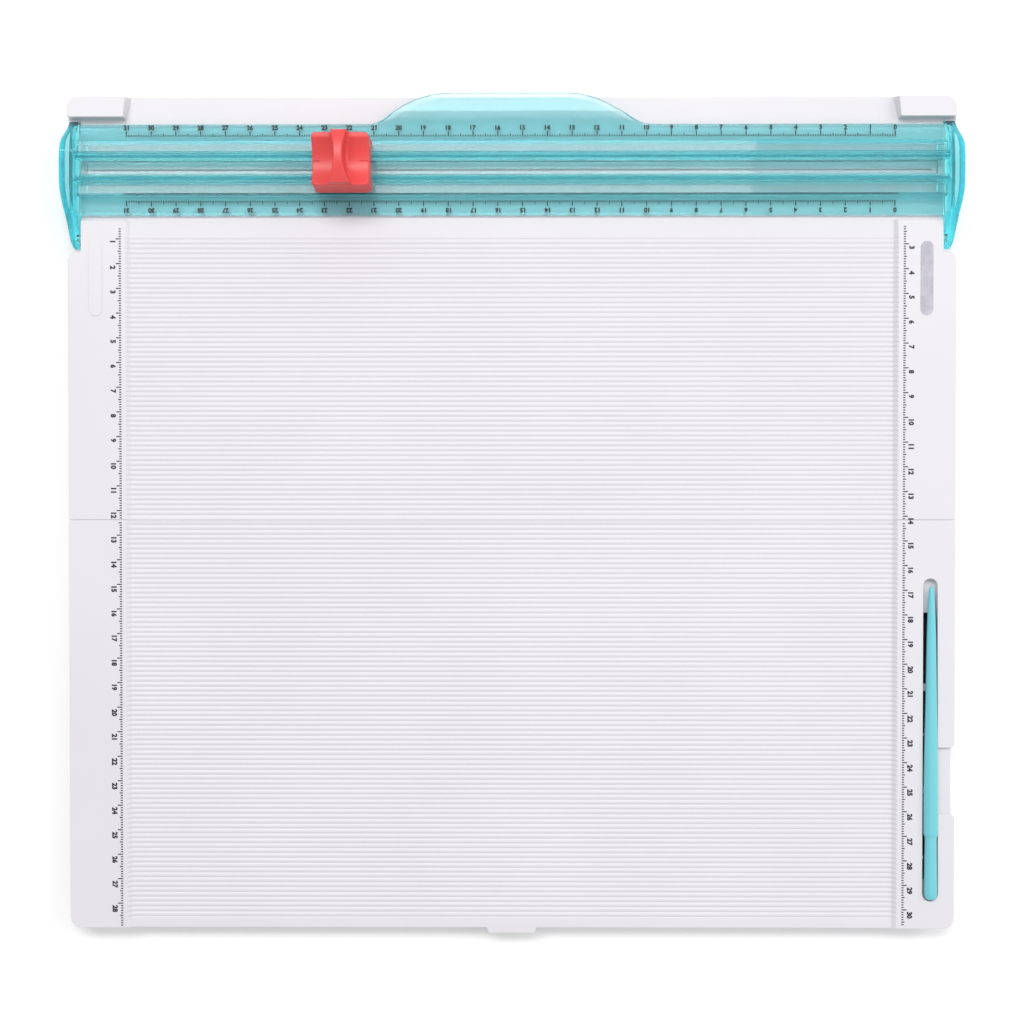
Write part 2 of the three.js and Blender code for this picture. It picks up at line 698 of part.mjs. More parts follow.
function rail() {
  const section = prismX(railSection(), [-RAIL_HALF_LENGTH, RAIL_HALF_LENGTH]);
  const slotY = [CUT_Y - SLOT_HALF_WIDTH, CUT_Y + SLOT_HALF_WIDTH];
  const slot = box([-SLOT_HALF_LENGTH, SLOT_HALF_LENGTH], slotY, [RAIL_Z - 1, WEB_Z[1] + 1]);
  return cut(join(section, liftTab()), slot);
}

// ---------------------------------------------------------------- rail end caps

// Distance of the slightly bowed outer face from the middle of the board
function capOuterX(y) {
  const peak = CUT_Y;
  const reach = y < peak ? peak - PIVOT_Y + ARM_TIP_R : 24;
  return CAP_OUTER_X - CAP_BOW * ((y - peak) / reach) ** 2;
}

// The cap's silhouette from the side: round tip on the pivot, then an arch over the ribs
function capSilhouette() {
  const shape = new THREE.Shape();
  shape.absarc(PIVOT_Y, PIVOT_Z, ARM_TIP_R, Math.PI / 2, (3 * Math.PI) / 2, false);
  shape.lineTo(CAP_REAR_Y - 7, PIVOT_Z - ARM_TIP_R);
  shape.quadraticCurveTo(CAP_REAR_Y, PIVOT_Z - ARM_TIP_R, CAP_REAR_Y, PIVOT_Z);
  shape.lineTo(CAP_REAR_Y, FLANGE_Z);
  shape.bezierCurveTo(CAP_REAR_Y - 6, FLANGE_Z + 0.6, CUT_Y + 13, CAP_TOP_Z, CUT_Y + 6, CAP_TOP_Z);
  shape.lineTo(CUT_Y - 6, CAP_TOP_Z);
  const tipTop = PIVOT_Z + ARM_TIP_R;
  shape.bezierCurveTo(CUT_Y - 14, CAP_TOP_Z, PIVOT_Y + 9, tipTop + 0.2, PIVOT_Y, tipTop);
  return shape.getPoints(6);
}

function bowedPlan(side, y, innerX, wall) {
  const steps = 6;
  const points = [new THREE.Vector2(side * innerX, y[0])];
  for (let i = 0; i <= steps; i += 1) {
    const at = y[0] + ((y[1] - y[0]) * i) / steps;
    points.push(new THREE.Vector2(side * (capOuterX(at) - wall), at));
  }
  points.push(new THREE.Vector2(side * innerX, y[1]));
  return points;
}

function endCap(side) {
  const arm = [PIVOT_Y - ARM_TIP_R, CAP_REAR_Y];
  const plan = prismZ(bowedPlan(side, arm, CAP_INNER_X, 0), [0, CAP_TOP_Z + 1]);
  const silhouette = prismX(capSilhouette(), onSide(side, [CAP_INNER_X - 1, CAP_OUTER_X + 1]));
  const troughY = [PIVOT_Y + 10, CAP_REAR_Y - CAP_WALLS.outer];
  const trough = bowedPlan(side, troughY, CAP_INNER_X + CAP_WALLS.inner, CAP_WALLS.outer);
  const tongues = [-1, 1].map((way) => {
    const y = TONGUE_V.map((v) => CUT_Y + way * v).sort((a, b) => a - b);
    return box(onSide(side, [TONGUE_INNER_X, CAP_INNER_X + 0.5]), y, TONGUE_Z);
  });
  return cut(
    join(common(plan, silhouette), ...tongues),
    prismZ(trough, [TONGUE_Z[1] + 0.4, CAP_TOP_Z + 1]),
    prismZ(trough, [0, RAIL_Z]),
    boreX(PIVOT_PIN_R, onSide(side, [CAP_INNER_X - 1, CAP_INNER_X + 2.2]), PIVOT_Y, PIVOT_Z),
  );
}

// ---------------------------------------------------------------- carriage

// Blade shoe: a lipped channel over the ribs, with a T-shaped keel that hooks under their lips
function slideShoe() {
  const half = [
    [KEEL.footV, KEEL.z],
    [KEEL.footV, KEEL.footZ],
    [KEEL.stemV, KEEL.footZ],
    [KEEL.stemV, SHOE_PLATE_Z[0]],
    [SHOE_WALL_V[1], SHOE_PLATE_Z[0]],
    [SHOE_WALL_V[1], SHOE_LIP_Z[0]],
    [SHOE_LIP_V, SHOE_LIP_Z[0]],
    [SHOE_LIP_V, SHOE_LIP_Z[1]],
    [SHOE_WALL_V[0], SHOE_LIP_Z[1]],
    [SHOE_WALL_V[0], SHOE_PLATE_Z[1]],
  ];
  const section = [...half, ...half.map(([v, z]) => [-v, z]).reverse()];
  const body = prismX(pointsOf(section), [-SHOE_HALF_LENGTH, SHOE_HALF_LENGTH]);
  const wellZ = [SPRING_Z[0] - 0.3, SHOE_LIP_Z[1] + 1];
  const wells = [-1, 1].map((side) => rodZ(SPRING_WELL_R, side * SPRING_X, 0, wellZ));
  const slot = { x: HOLDER_HALF.x + 0.3, v: HOLDER_HALF.v + 0.3 };
  const holderSlot = box([-slot.x, slot.x], [-slot.v, slot.v], [KEEL.z - 1, SHOE_LIP_Z[1] + 1]);
  return cut(body, holderSlot, ...wells);
}

// A coil spring's centre line
class Helix extends THREE.Curve {
  constructor(radius, z, turns) {
    super();
    this.radius = radius;
    this.z = z;
    this.turns = turns;
  }

  getPoint(t, target = new THREE.Vector3()) {
    const angle = 2 * Math.PI * this.turns * t;
    const height = this.z[0] + (this.z[1] - this.z[0]) * t;
    return target.set(this.radius * Math.cos(angle), this.radius * Math.sin(angle), height);
  }
}

function returnSpring() {
  const wire = SPRING_WIRE_R;
  const path = new Helix(SPRING_R, [SPRING_Z[0] + wire, SPRING_Z[1] - wire], SPRING_TURNS);
  const steps = 9 * SPRING_TURNS;
  const sides = 5;
  const section = new THREE.Shape();
  for (let i = 0; i < sides; i += 1) {
    const angle = (2 * Math.PI * i) / sides;
    section[i ? 'lineTo' : 'moveTo'](wire * Math.cos(angle), wire * Math.sin(angle));
  }
  return new THREE.ExtrudeGeometry(section, { steps, extrudePath: path, bevelEnabled: false });
}

function bladeHolder() {
  const { x, v } = HOLDER_HALF;
  const body = box([-x, x], [-v, v], [15.8, KNOB_CEILING_Z - 0.3]);
  const slotX = BLADE_HALF_LENGTH + 0.3;
  const bladeSlot = box([-slotX, slotX], [-0.4, 0.4], [14, 22.6]);
  return cut(body, bladeSlot, pinHole());
}

function pinHole() {
  const segments = 12;
  const radius = (BLADE_PIN_R + RUNNING_GAP) / Math.cos(Math.PI / segments);
  const hole = new THREE.CylinderGeometry(radius, radius, 4 * HOLDER_HALF.v, segments);
  return hole.translate(0, 0, BLADE_PIN_Z);
}

function bladePin() {
  const length = 2 * HOLDER_HALF.v - 0.2;
  return new THREE.CylinderGeometry(BLADE_PIN_R, BLADE_PIN_R, length, 12).translate(0, 0, BLADE_PIN_Z);
}

// Steel leaf ground to a point that cuts whichever way the carriage is pushed
function blade() {
  const x = BLADE_HALF_LENGTH;
  const leaf = [[-x, 22.3], [-x, 16.4], [0, BLADE_TIP_Z], [x, 16.4], [x, 22.3]];
  return cut(prismY(pointsOf(leaf), [-0.25, 0.25]), pinHole());
}

// Hourglass grip fin that runs from front to rear across the middle of the knob
function gripFin() {
  const steps = 8;
  const half = KNOB_TOP.v - 0.2;
  const edge = [];
  const ridge = [];
  for (let i = 0; i <= steps; i += 1) {
    const v = -half + (2 * half * i) / steps;
    edge.push([1.7 + 2.6 * (v / half) ** 2, v]);
    ridge.push([v, FIN_TOP_Z - (FIN_TOP_Z - FIN_END_Z) * (v / half) ** 2]);
  }
  const plan = [...edge, ...edge.map(([x, v]) => [-x, v]).reverse()];
  const crown = [[half, KNOB_CEILING_Z + 1], ...ridge.reverse(), [-half, KNOB_CEILING_Z + 1]];
  const reach = 6;
  const slab = prismZ(pointsOf(plan), [KNOB_CEILING_Z + 1, FIN_TOP_Z + 1]);
  return common(slab, prismX(pointsOf(crown), [-reach, reach]));
}

// Press knob: a drafted, dished cap over the shoe, with ridges that catch under its lips
function pressKnob() {
  const ring = ({ x, v }, z) => outline([[-x, -v, 2], [x, -v, 2], [x, v, 2], [-x, v, 2]])
    .map((p) => new THREE.Vector3(p.x, p.y, z));
  const shell = loft([ring(KNOB_FOOT, KNOB_Z[0]), ring(KNOB_TOP, KNOB_Z[1])]);
  const { x, v } = KNOB_CAVITY;
  const cavity = box([-x, x], [-v, v], [KNOB_Z[0] - 1, KNOB_CEILING_Z]);
  const archV = RIB_OUTER_V + 0.6;
  const archZ = [KNOB_Z[0] - 1, RIB_TOP_Z + PRESS_TRAVEL + 0.4];
  const through = [-KNOB_FOOT.x - 1, KNOB_FOOT.x + 1];
  const arch = box(through, [-archV, archV], archZ);
  const depth = KNOB_Z[1] - DISH_Z;
  const halfWidth = (DISH_V[1] - DISH_V[0]) / 2;
  const dishR = (halfWidth ** 2 + depth ** 2) / (2 * depth);
  const dish = rodX(dishR, through, (DISH_V[0] + DISH_V[1]) / 2, DISH_Z + dishR, 72);
  const ridges = [-1, 1].map((way) => {
    const across = [way * (v + 0.5), way * (SHOE_WALL_V[1] + 0.3)].sort((a, b) => a - b);
    return box([-6, 6], across, [SHOE_LIP_Z[0] - 1.6, SHOE_LIP_Z[0] - 0.4]);
  });
  return join(cut(shell, dish, cavity, arch), gripFin(), ...ridges);
}

// ---------------------------------------------------------------- assembly

const board = new THREE.Group();
board.add(meshOf('rear_board_half', rearHalf(), whitePlastic));
board.add(meshOf('front_board_half', frontHalf(), whitePlastic));
board.add(meshOf('cutting_strip', cuttingStrip(), stripPlastic));

const stylusMesh = meshOf('scoring_stylus', stylus(), stylusBlue);
const stylusX = (POCKET_X[0] + POCKET_X[1]) / 2 + 0.1;
stylusMesh.position.set(stylusX, POCKET_Y[0] + 0.7, POCKET_FLOOR_Z[1] + 0.1 + STYLUS_R);
board.add(stylusMesh);

const footSolid = foot();
const addFeet = (feet, row) => footPlaces(feet).forEach(([x, y], i) => {
  const name = `${row}_foot_${x < 0 ? 'left' : 'right'}_${(i % 2) + 1}`;
  const mesh = meshOf(name, footSolid, rubber);
  mesh.position.set(x, y, 0);
  board.add(mesh);
});
addFeet(REAR_FEET, 'rear_half');
addFeet(FRONT_FEET, 'front_half');

const foldPinSpan = [KNUCKLE_ENDS[0] + 0.5, KNUCKLE_ENDS[3] - 0.5];
const pivotPinSpan = [PIVOT_PIN_INNER_X, CAP_INNER_X + 2];
const railAssembly = new THREE.Group();
railAssembly.add(meshOf('cutter_rail', rail(), clearBlue));
[['left', -1], ['right', 1]].forEach(([label, side]) => {
  const foldPin = rodX(FOLD_PIN_R, onSide(side, foldPinSpan), SEAM_Y, FOLD_Z, 12);
  const pivotPin = rodX(PIVOT_PIN_R, onSide(side, pivotPinSpan), PIVOT_Y, PIVOT_Z, 12);
  board.add(meshOf(`${label}_fold_pin`, foldPin, steel));
  railAssembly.add(meshOf(`${label}_rail_end_cap`, endCap(side), clearBlue));
  railAssembly.add(meshOf(`${label}_rail_pivot_pin`, pivotPin, steel));
});

const carriage = new THREE.Group();
carriage.position.set(CARRIAGE_X, CUT_Y, 0);
carriage.add(meshOf('slide_shoe', slideShoe(), shoePlastic));
carriage.add(meshOf('press_knob', pressKnob(), redPlastic));
carriage.add(meshOf('blade_holder', bladeHolder(), shoePlastic));
carriage.add(meshOf('trim_blade', blade(), steel));
carriage.add(meshOf('blade_pin', bladePin(), steel));
[['left', -1], ['right', 1]].forEach(([label, side]) => {
  const spring = meshOf(`${label}_return_spring`, returnSpring(), steel);
  spring.position.x = side * SPRING_X;
  carriage.add(spring);
});
railAssembly.add(carriage);
board.add(railAssembly);

export default board;
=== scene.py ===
"""Looks for the folding trim-and-score board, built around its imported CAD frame.

Meshes are worked out in millimetres and handed over in metres. +X right, +Y rear, +Z up.
"""

import math

import bmesh
import bpy
from mathutils import Matrix, Vector


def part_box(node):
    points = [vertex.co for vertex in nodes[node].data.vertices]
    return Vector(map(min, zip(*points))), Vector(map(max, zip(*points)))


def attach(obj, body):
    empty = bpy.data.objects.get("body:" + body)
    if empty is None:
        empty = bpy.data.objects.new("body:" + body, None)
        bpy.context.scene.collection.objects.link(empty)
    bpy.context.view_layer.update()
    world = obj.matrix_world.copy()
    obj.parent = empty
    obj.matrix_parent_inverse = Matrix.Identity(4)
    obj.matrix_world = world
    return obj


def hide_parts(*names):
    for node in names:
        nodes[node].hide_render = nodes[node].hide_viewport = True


MM = 0.001

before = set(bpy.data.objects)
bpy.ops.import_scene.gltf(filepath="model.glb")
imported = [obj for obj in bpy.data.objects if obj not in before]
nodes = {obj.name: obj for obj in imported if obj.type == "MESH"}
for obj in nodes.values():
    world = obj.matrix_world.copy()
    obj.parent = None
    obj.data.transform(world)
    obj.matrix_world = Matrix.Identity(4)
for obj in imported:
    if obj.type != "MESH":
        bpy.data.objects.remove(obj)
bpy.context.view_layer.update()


# ------------------------------------------------------------------ driving dimensions

def box_mm(node):
    """Lowest and highest corner of a CAD node, in millimetres."""
    low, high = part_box(node)
    return Vector(low) / MM, Vector(high) / MM


RAIL_LOW, RAIL_HIGH = box_mm("cutter_rail")
STRIP_LOW, STRIP_HIGH = box_mm("cutting_strip")
KNOB_LOW, KNOB_HIGH = box_mm("press_knob")
STYLUS_LOW, STYLUS_HIGH = box_mm("scoring_stylus")

# Board
BORDER_Z = box_mm("front_board_half")[1].z   # flat border beside the paper channel
BED_Z = BORDER_Z - 1.5                       # floor of the paper channel
CHANNEL_HALF_WIDTH = 154.75
SEAM_Y = -1.9                                # where the two halves meet
CUT_Y = (STRIP_LOW.y + STRIP_HIGH.y) / 2     # the cut line
GROOVED_AREA = (158.0, 118.0)                # its half width and its rear limit
SHARP_BELOW_Z = 2.9                          # edges that reach lower, under the shell, stay sharp
BOARD_EDGE_R = 0.5

# Rulers. The rail counts centimetres from the right, the borders from the rail forwards.
RAIL_ZERO_X = 154.5
LEFT_ZERO_Y = 122.1
RIGHT_ZERO_Y = CUT_Y
LEFT_TICK_X = -158.2
RIGHT_TICK_X = 158.4
BORDER_TICK_ENDS = (117.0, -167.0)
BORDER_TICKS = (0.9, 1.3, 2.1)               # lengths at each 1, 5 and 10 mm
INK = 0.03                                   # thickness of printed ink
INK_GAP = 0.004
TICK_WIDTH = 0.44
DASH_WIDTH = 0.6                             # dashes along the edge of the front deck
DASH_LENGTH = 0.7
DASH_V = -10.85
NUMERAL_BOLDNESS = 0.056
RAIL_NUMERAL = 2.05                          # height of the figures
BORDER_NUMERAL = 2.25

# Labels, plain rounded bars near the rear corners
LABEL_Y = (81.0, 111.0)
LABEL_R = 2.6
LEFT_LABEL_X = -168.5
RIGHT_LABEL_X = 167.8

# Rail section, by distance v from the cut line
RAIL_FRONT_V = -18.3
RAIL_REAR_V = 18.2
RAIL_Z = 10.8
FLANGE_Z = 13.0
DECK_OUTER_V = 11.2
DECK_Z = (15.0, 16.2)
DECK_WALL = 1.2
RIB_OUTER_V, RIB_CREST_V, RIB_STEM_V, RIB_INNER_V = 5.9, 5.0, 4.4, 2.9
RIB_TOP_Z = 19.4
LIP_Z = (15.8, 17.2)
WEB_Z = (11.2, 12.2)
WEB_FALL = 0.25                              # how far each web falls towards the rear
DECK_FALL = 0.4                              # how far each deck falls towards the rear
FLANGE_END_V = 17.6                          # where the rear edge's own profile takes over
SLOT_HALF_WIDTH = 0.45
SLOT_HALF_LENGTH = 173.0

# Lift tab on the rail's rear edge
TAB_SPAN = (-60.0, 60.0)
TAB_TOP_Z = 14.8
TAB_BOTTOM_Z = 13.2
TAB_TOP_RISE_V = 18.4                        # where its top and underside leave the flange
TAB_BOTTOM_RISE_V = 18.8
TAB_RISE = 4.0                               # how far back they climb
TAB_CROWN = 0.4                              # how far its rear edge drops below its top
TAB_CROWN_REACH = 8.0

# End caps
CAP_INNER_X = 176.4                          # only what lies further out is drawn in
CAP_SLICES = 26
CAP_TAPER = {"rear": 2.0, "front": 2.3}      # how far the outer side is drawn in at each end

# Knob, from its own middle on the cut line
KNOB_X = (KNOB_LOW.x + KNOB_HIGH.x) / 2
KNOB_HALF = (11.2, 10.4)
KNOB_FLARE = (0.4, 0.5)
KNOB_CORNER_R = 1.6
KNOB_EDGE_R = 0.5
KNOB_RIM_Z = 31.0
KNOB_CEILING_Z = 26.4
KNOB_CAVITY = (10.2, 9.4)
DISH_Z = 27.9
DISH_V = (-10.0, 8.2)
ROW_PITCH = 0.3
INDEX_V = (-0.52, -0.18)                     # index marks cut into the left and right of the dish
INDEX_SHOULDER = 0.08                        # width of a mark's sloping sides
INDEX_DEPTH = 0.4
INDEX_LENGTH = {-1: 2.5, 1: 3.2}             # at the left and at the right
FIN_WAIST = 1.6                              # half width at its middle
FIN_SPREAD = {"front": 2.7, "rear": 1.5}     # how much wider each end is
FIN_DROP = 2.6                               # how far its ends lie below its middle
FIN_FLARE = 1.3                              # radius where it meets the dish
FIN_EDGE_R = 0.5
ARCH_TOP_Z = 22.3                            # top of the opening that clears the rail's ribs


# ------------------------------------------------------------------ materials

def new_material(name):
    """A material with a Principled shader: (material, shader, node adder, linker)."""
    mat = bpy.data.materials.new(name)
    mat.use_nodes = True
    tree = mat.node_tree
    shader = tree.nodes["Principled BSDF"]

    def add(kind, **inputs):
        node = tree.nodes.new(kind)
        for key, value in inputs.items():
            node.inputs[key.replace("_", " ")].default_value = value
        return node

    return mat, shader, add, tree.links.new


def colour_variation(add, link, shader, colour, spread, scale):
    """Base colour that drifts slowly by a few per cent over the surface."""
    coords = add("ShaderNodeTexCoord")
    noise = add("ShaderNodeTexNoise", Scale=scale, Detail=3.0, Roughness=0.55)
    ramp = add("ShaderNodeValToRGB")
    dark = [max(c * (1 - spread), 0) for c in colour]
    light = [min(c * (1 + spread), 1) for c in colour]
    ramp.color_ramp.elements[0].position = 0.3
    ramp.color_ramp.elements[1].position = 0.7
    ramp.color_ramp.elements[0].color = (*dark, 1)
    ramp.color_ramp.elements[1].color = (*light, 1)
    link(coords.outputs["Object"], noise.inputs["Vector"])
    link(noise.outputs["Fac"], ramp.inputs["Fac"])
    link(ramp.outputs["Color"], shader.inputs["Base Color"])
    return coords


def roughness_variation(add, link, shader, coords, low, high, scale):
    """Roughness that drifts between two values over the surface."""
    noise = add("ShaderNodeTexNoise", Scale=scale, Detail=4.0, Roughness=0.6)
    spread = add("ShaderNodeMapRange")
    spread.inputs["To Min"].default_value = low
    spread.inputs["To Max"].default_value = high
    link(coords.outputs["Object"], noise.inputs["Vector"])
    link(noise.outputs["Fac"], spread.inputs["Value"])
    link(spread.outputs["Result"], shader.inputs["Roughness"])


def fine_bump(add, link, shader, coords, scale, height):
    """Moulding texture: a fine grain that only tilts the surface."""
    noise = add("ShaderNodeTexNoise", Scale=scale, Detail=2.0, Roughness=0.5)
    bump = add("ShaderNodeBump", Strength=0.3, Distance=height)
    link(coords.outputs["Object"], noise.inputs["Vector"])
    link(noise.outputs["Fac"], bump.inputs["Height"])
    link(bump.outputs["Normal"], shader.inputs["Normal"])


def moulded_plastic(name, colour, rough, grain=0.02, spread=0.015):
    """Moulded plastic with a fine grain of a height in millimetres."""
    mat, shader, add, link = new_material(name)
    coords = colour_variation(add, link, shader, colour, spread, 14.0)
    roughness_variation(add, link, shader, coords, rough - 0.05, rough + 0.05, 60.0)
    fine_bump(add, link, shader, coords, 2200.0, grain * MM)
    shader.inputs["IOR"].default_value = 1.5
    return mat


def clear_plastic(name, absorb, density):
    """Clear tinted acrylic: the tint comes from the depth of plastic that light crosses.

    A slight haze keeps corners that trap light from going black.
    """
    mat, shader, add, link = new_material(name)
    shader.inputs["Base Color"].default_value = (1, 1, 1, 1)
    shader.inputs["Transmission Weight"].default_value = 0.95
    shader.inputs["IOR"].default_value = 1.27
    coords = add("ShaderNodeTexCoord")
    roughness_variation(add, link, shader, coords, 0.01, 0.04, 90.0)
    volume = add("ShaderNodeVolumeAbsorption")
    volume.inputs["Color"].default_value = (*absorb, 1)
    volume.inputs["Density"].default_value = density
    output = mat.node_tree.nodes["Material Output"]
    link(volume.outputs["Volume"], output.inputs["Volume"])
    return mat


def steel(name, rough):
    """Ground steel with small differences in colour and gloss."""
    mat, shader, add, link = new_material(name)
    coords = colour_variation(add, link, shader, (0.62, 0.63, 0.65), 0.05, 400.0)
    shader.inputs["Metallic"].default_value = 1.0
    roughness_variation(add, link, shader, coords, rough - 0.06, rough + 0.1, 900.0)
    return mat


def ink(name, colour):
    """Printed ink, a little uneven."""
    mat, shader, add, link = new_material(name)
    coords = colour_variation(add, link, shader, colour, 0.12, 300.0)
    roughness_variation(add, link, shader, coords, 0.44, 0.6, 400.0)
    return mat


def rubber(name, colour):
    """Dull rubber with a coarser grain than the plastics."""
    mat, shader, add, link = new_material(name)
    coords = colour_variation(add, link, shader, colour, 0.06, 120.0)
    roughness_variation(add, link, shader, coords, 0.75, 0.9, 200.0)
    fine_bump(add, link, shader, coords, 1500.0, 0.04 * MM)
    return mat


WHITE = moulded_plastic("white_moulded_plastic", (0.685, 0.67, 0.705), 0.42)
CLEAR_BLUE = clear_plastic("clear_blue_acrylic", (0.0, 0.957, 0.999), 235.0)
STYLUS_BLUE = moulded_plastic("stylus_plastic", (0.16, 0.56, 0.63), 0.2, spread=0.03)
RED = moulded_plastic("red_moulded_plastic", (0.72, 0.062, 0.06), 0.36, 0.03, spread=0.03)
STRIP = moulded_plastic("cutting_strip_plastic", (0.80, 0.80, 0.83), 0.5)
SHOE = moulded_plastic("slide_shoe_plastic", (0.70, 0.70, 0.70), 0.45)
STEEL = steel("ground_steel", 0.28)
RUBBER = rubber("foot_rubber", (0.27, 0.28, 0.3))
# Near-black sheet under the stylus pocket: painted shade standing in for the deep shadow of the pocket's
# open underside
POCKET_SHADE_PAINT = rubber("painted_pocket_shade", (0.02, 0.02, 0.024))
BLACK_INK = ink("black_ink", (0.008, 0.008, 0.011))
GREY_INK = ink("grey_ink", (0.44, 0.43, 0.49))


# ------------------------------------------------------------------ mesh helpers

def finish_mesh(obj, angle):
    """Smooth shading, with edges sharper than the angle kept crisp and flat faces kept flat."""
    bm = bmesh.new()
    bm.from_mesh(obj.data)
    for face in bm.faces:
        face.smooth = True
    for edge in bm.edges:
        paired = len(edge.link_faces) == 2
        edge.smooth = paired and edge.calc_face_angle() < math.radians(angle)
    bm.to_mesh(obj.data)
    bm.free()
    weighted = obj.modifiers.new("flat_faces_stay_flat", "WEIGHTED_NORMAL")
    weighted.keep_sharp = True


def add_piece(name, bm, material, body, replaces=(), angle=34.0):
    """Turns a bmesh, in millimetres, into a piece that rides on a body."""
    bmesh.ops.scale(bm, vec=(MM, MM, MM), verts=bm.verts)
    bmesh.ops.recalc_face_normals(bm, faces=bm.faces)
    mesh = bpy.data.meshes.new(name)
    bm.to_mesh(mesh)
    bm.free()
    obj = bpy.data.objects.new(name, mesh)
    bpy.context.scene.collection.objects.link(obj)
    mesh.materials.append(material)
    finish_mesh(obj, angle)
    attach(obj, body)
    if replaces:
        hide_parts(*replaces)
    return obj


def node_copy(node):
    """A CAD node's mesh in millimetres, with its flat areas as single faces."""
    bm = bmesh.new()
    bm.from_mesh(nodes[node].data)
    bmesh.ops.scale(bm, vec=(1 / MM, 1 / MM, 1 / MM), verts=bm.verts)
    bmesh.ops.remove_doubles(bm, verts=bm.verts, dist=1e-4)
    bmesh.ops.dissolve_limit(bm, angle_limit=math.radians(0.4), verts=bm.verts, edges=bm.edges)
    return bm


def bevelled(bm, radius, pick=None, segments=3):
    """Rounds the edges that turn by over 30 degrees and that pick() lets through."""
    edges = [
        e for e in bm.edges
        if len(e.link_faces) == 2 and e.calc_face_angle() > math.radians(30)
        and (pick is None or pick(e))
    ]
    bmesh.ops.bevel(
        bm, geom=edges, offset=radius, segments=segments, profile=0.5,
        affect="EDGES", clamp_overlap=True,
    )
    return bm


def in_order(bm):
    """Sorts vertices and faces by place, because cuts by a plane leave them in any order."""
    for rank, vert in enumerate(sorted(bm.verts, key=lambda vert: vert.co[:])):
        vert.index = rank
    bm.verts.sort()
    for rank, face in enumerate(sorted(bm.faces, key=lambda face: face.calc_center_median()[:])):
        face.index = rank
    bm.faces.sort()
    return bm


def combined(bm, tool, operation):
    """The first bmesh joined with the second, or cut by it."""
    objects = []
    for label, part in (("body", bm), ("tool", tool)):
        bmesh.ops.recalc_face_normals(part, faces=part.faces)
        mesh = bpy.data.meshes.new(label)
        part.to_mesh(mesh)
        part.free()
        obj = bpy.data.objects.new(label, mesh)
        bpy.context.scene.collection.objects.link(obj)
        objects.append(obj)
    combine = objects[0].modifiers.new("combine", "BOOLEAN")
    combine.object = objects[1]
    combine.operation = operation
    combine.solver = "EXACT"
    depsgraph = bpy.context.evaluated_depsgraph_get()
    mesh = bpy.data.meshes.new_from_object(objects[0].evaluated_get(depsgraph))
    result = bmesh.new()
    result.from_mesh(mesh)
    for obj in objects:
        old = obj.data
        bpy.data.objects.remove(obj)
        bpy.data.meshes.remove(old)
    bpy.data.meshes.remove(mesh)
    return result


def add_box(bm, x, y, z):
    """A box between pairs of limits."""
    verts = [bm.verts.new((x[i], y[j], z[k])) for k in (0, 1) for j in (0, 1) for i in (0, 1)]
    for face in ((0, 2, 3, 1), (4, 5, 7, 6), (0, 1, 5, 4), (2, 6, 7, 3), (0, 4, 6, 2), (1, 3, 7, 5)):
        bm.faces.new([verts[i] for i in face])


def skin(bm, rings):
    """A closed skin over rings of points, capped at both ends."""
    loops = [[bm.verts.new(point) for point in ring] for ring in rings]
    count = len(loops[0])
    for before, after in zip(loops, loops[1:]):
        for i in range(count):
            j = (i + 1) % count
            bm.faces.new((before[i], before[j], after[j], after[i]))
    bm.faces.new(loops[0][::-1])
    bm.faces.new(loops[-1])


def filleted(corners, steps=4):
    """A closed outline with its corners rounded; each corner is (a, b, radius)."""
    points = []
    for i, (a, b, radius) in enumerate(corners):
        corner = Vector((a, b))
        if not radius:
            points.append(corner)
            continue
        back = (Vector(corners[i - 1][:2]) - corner).normalized()
        ahead = (Vector(corners[(i + 1) % len(corners)][:2]) - corner).normalized()
        half = math.acos(max(-1.0, min(1.0, back.dot(ahead)))) / 2
        centre = corner + (back + ahead).normalized() * (radius / math.sin(half))
        first = corner + back * (radius / math.tan(half)) - centre
        last = corner + ahead * (radius / math.tan(half)) - centre
        sweep = math.atan2(first.x * last.y - first.y * last.x, first.dot(last))
        for k in range(steps + 1):
            points.append(centre + Matrix.Rotation(sweep * k / steps, 2) @ first)
    return points


def lathe(profile, place, axis, segments=40):
    """Profile of (radius, distance) pairs, from axis to axis, turned about a direction."""
    bm = bmesh.new()
    rings = []
    for radius, distance in profile:
        ring = []
        for k in range(segments):
            turn = 2 * math.pi * k / segments
            ring.append(Vector((radius * math.cos(turn), radius * math.sin(turn), distance)))
        rings.append(ring)
    skin(bm, rings)
    bmesh.ops.remove_doubles(bm, verts=bm.verts, dist=1e-5)
    turn = Vector((0, 0, 1)).rotation_difference(Vector(axis)).to_matrix().to_4x4()
    bmesh.ops.transform(bm, matrix=Matrix.Translation(place) @ turn, verts=bm.verts)
    return bm


def smoothstep(t):
    """Eases from 0 to 1 as t goes from 0 to 1."""
    t = max(0.0, min(1.0, t))
    return t * t * (3 - 2 * t)


# ------------------------------------------------------------------ board

def board_edge(edge):
    """True for edges of the board's outline, pocket and blocks, away from the score grooves."""
    a, b = (v.co for v in edge.verts)
    low_z, high_z = sorted((a.z, b.z))
    half_width, rear_y = GROOVED_AREA
    on_bed = (
        max(abs(a.x), abs(b.x)) < half_width and max(a.y, b.y) < rear_y and low_z > BED_Z - 1.5
    )
    return low_z >= SHARP_BELOW_Z and high_z > BORDER_Z - 1 and not on_bed


def add_board():
    """Both halves of the board, with the edges of the moulding rounded."""
    for half, name in (("rear", "rear_board_shell"), ("front", "front_board_shell")):
        node = f"{half}_board_half"
        shell = bevelled(node_copy(node), BOARD_EDGE_R, board_edge)
        add_piece(name, shell, WHITE, f"{half}_half", (node,))


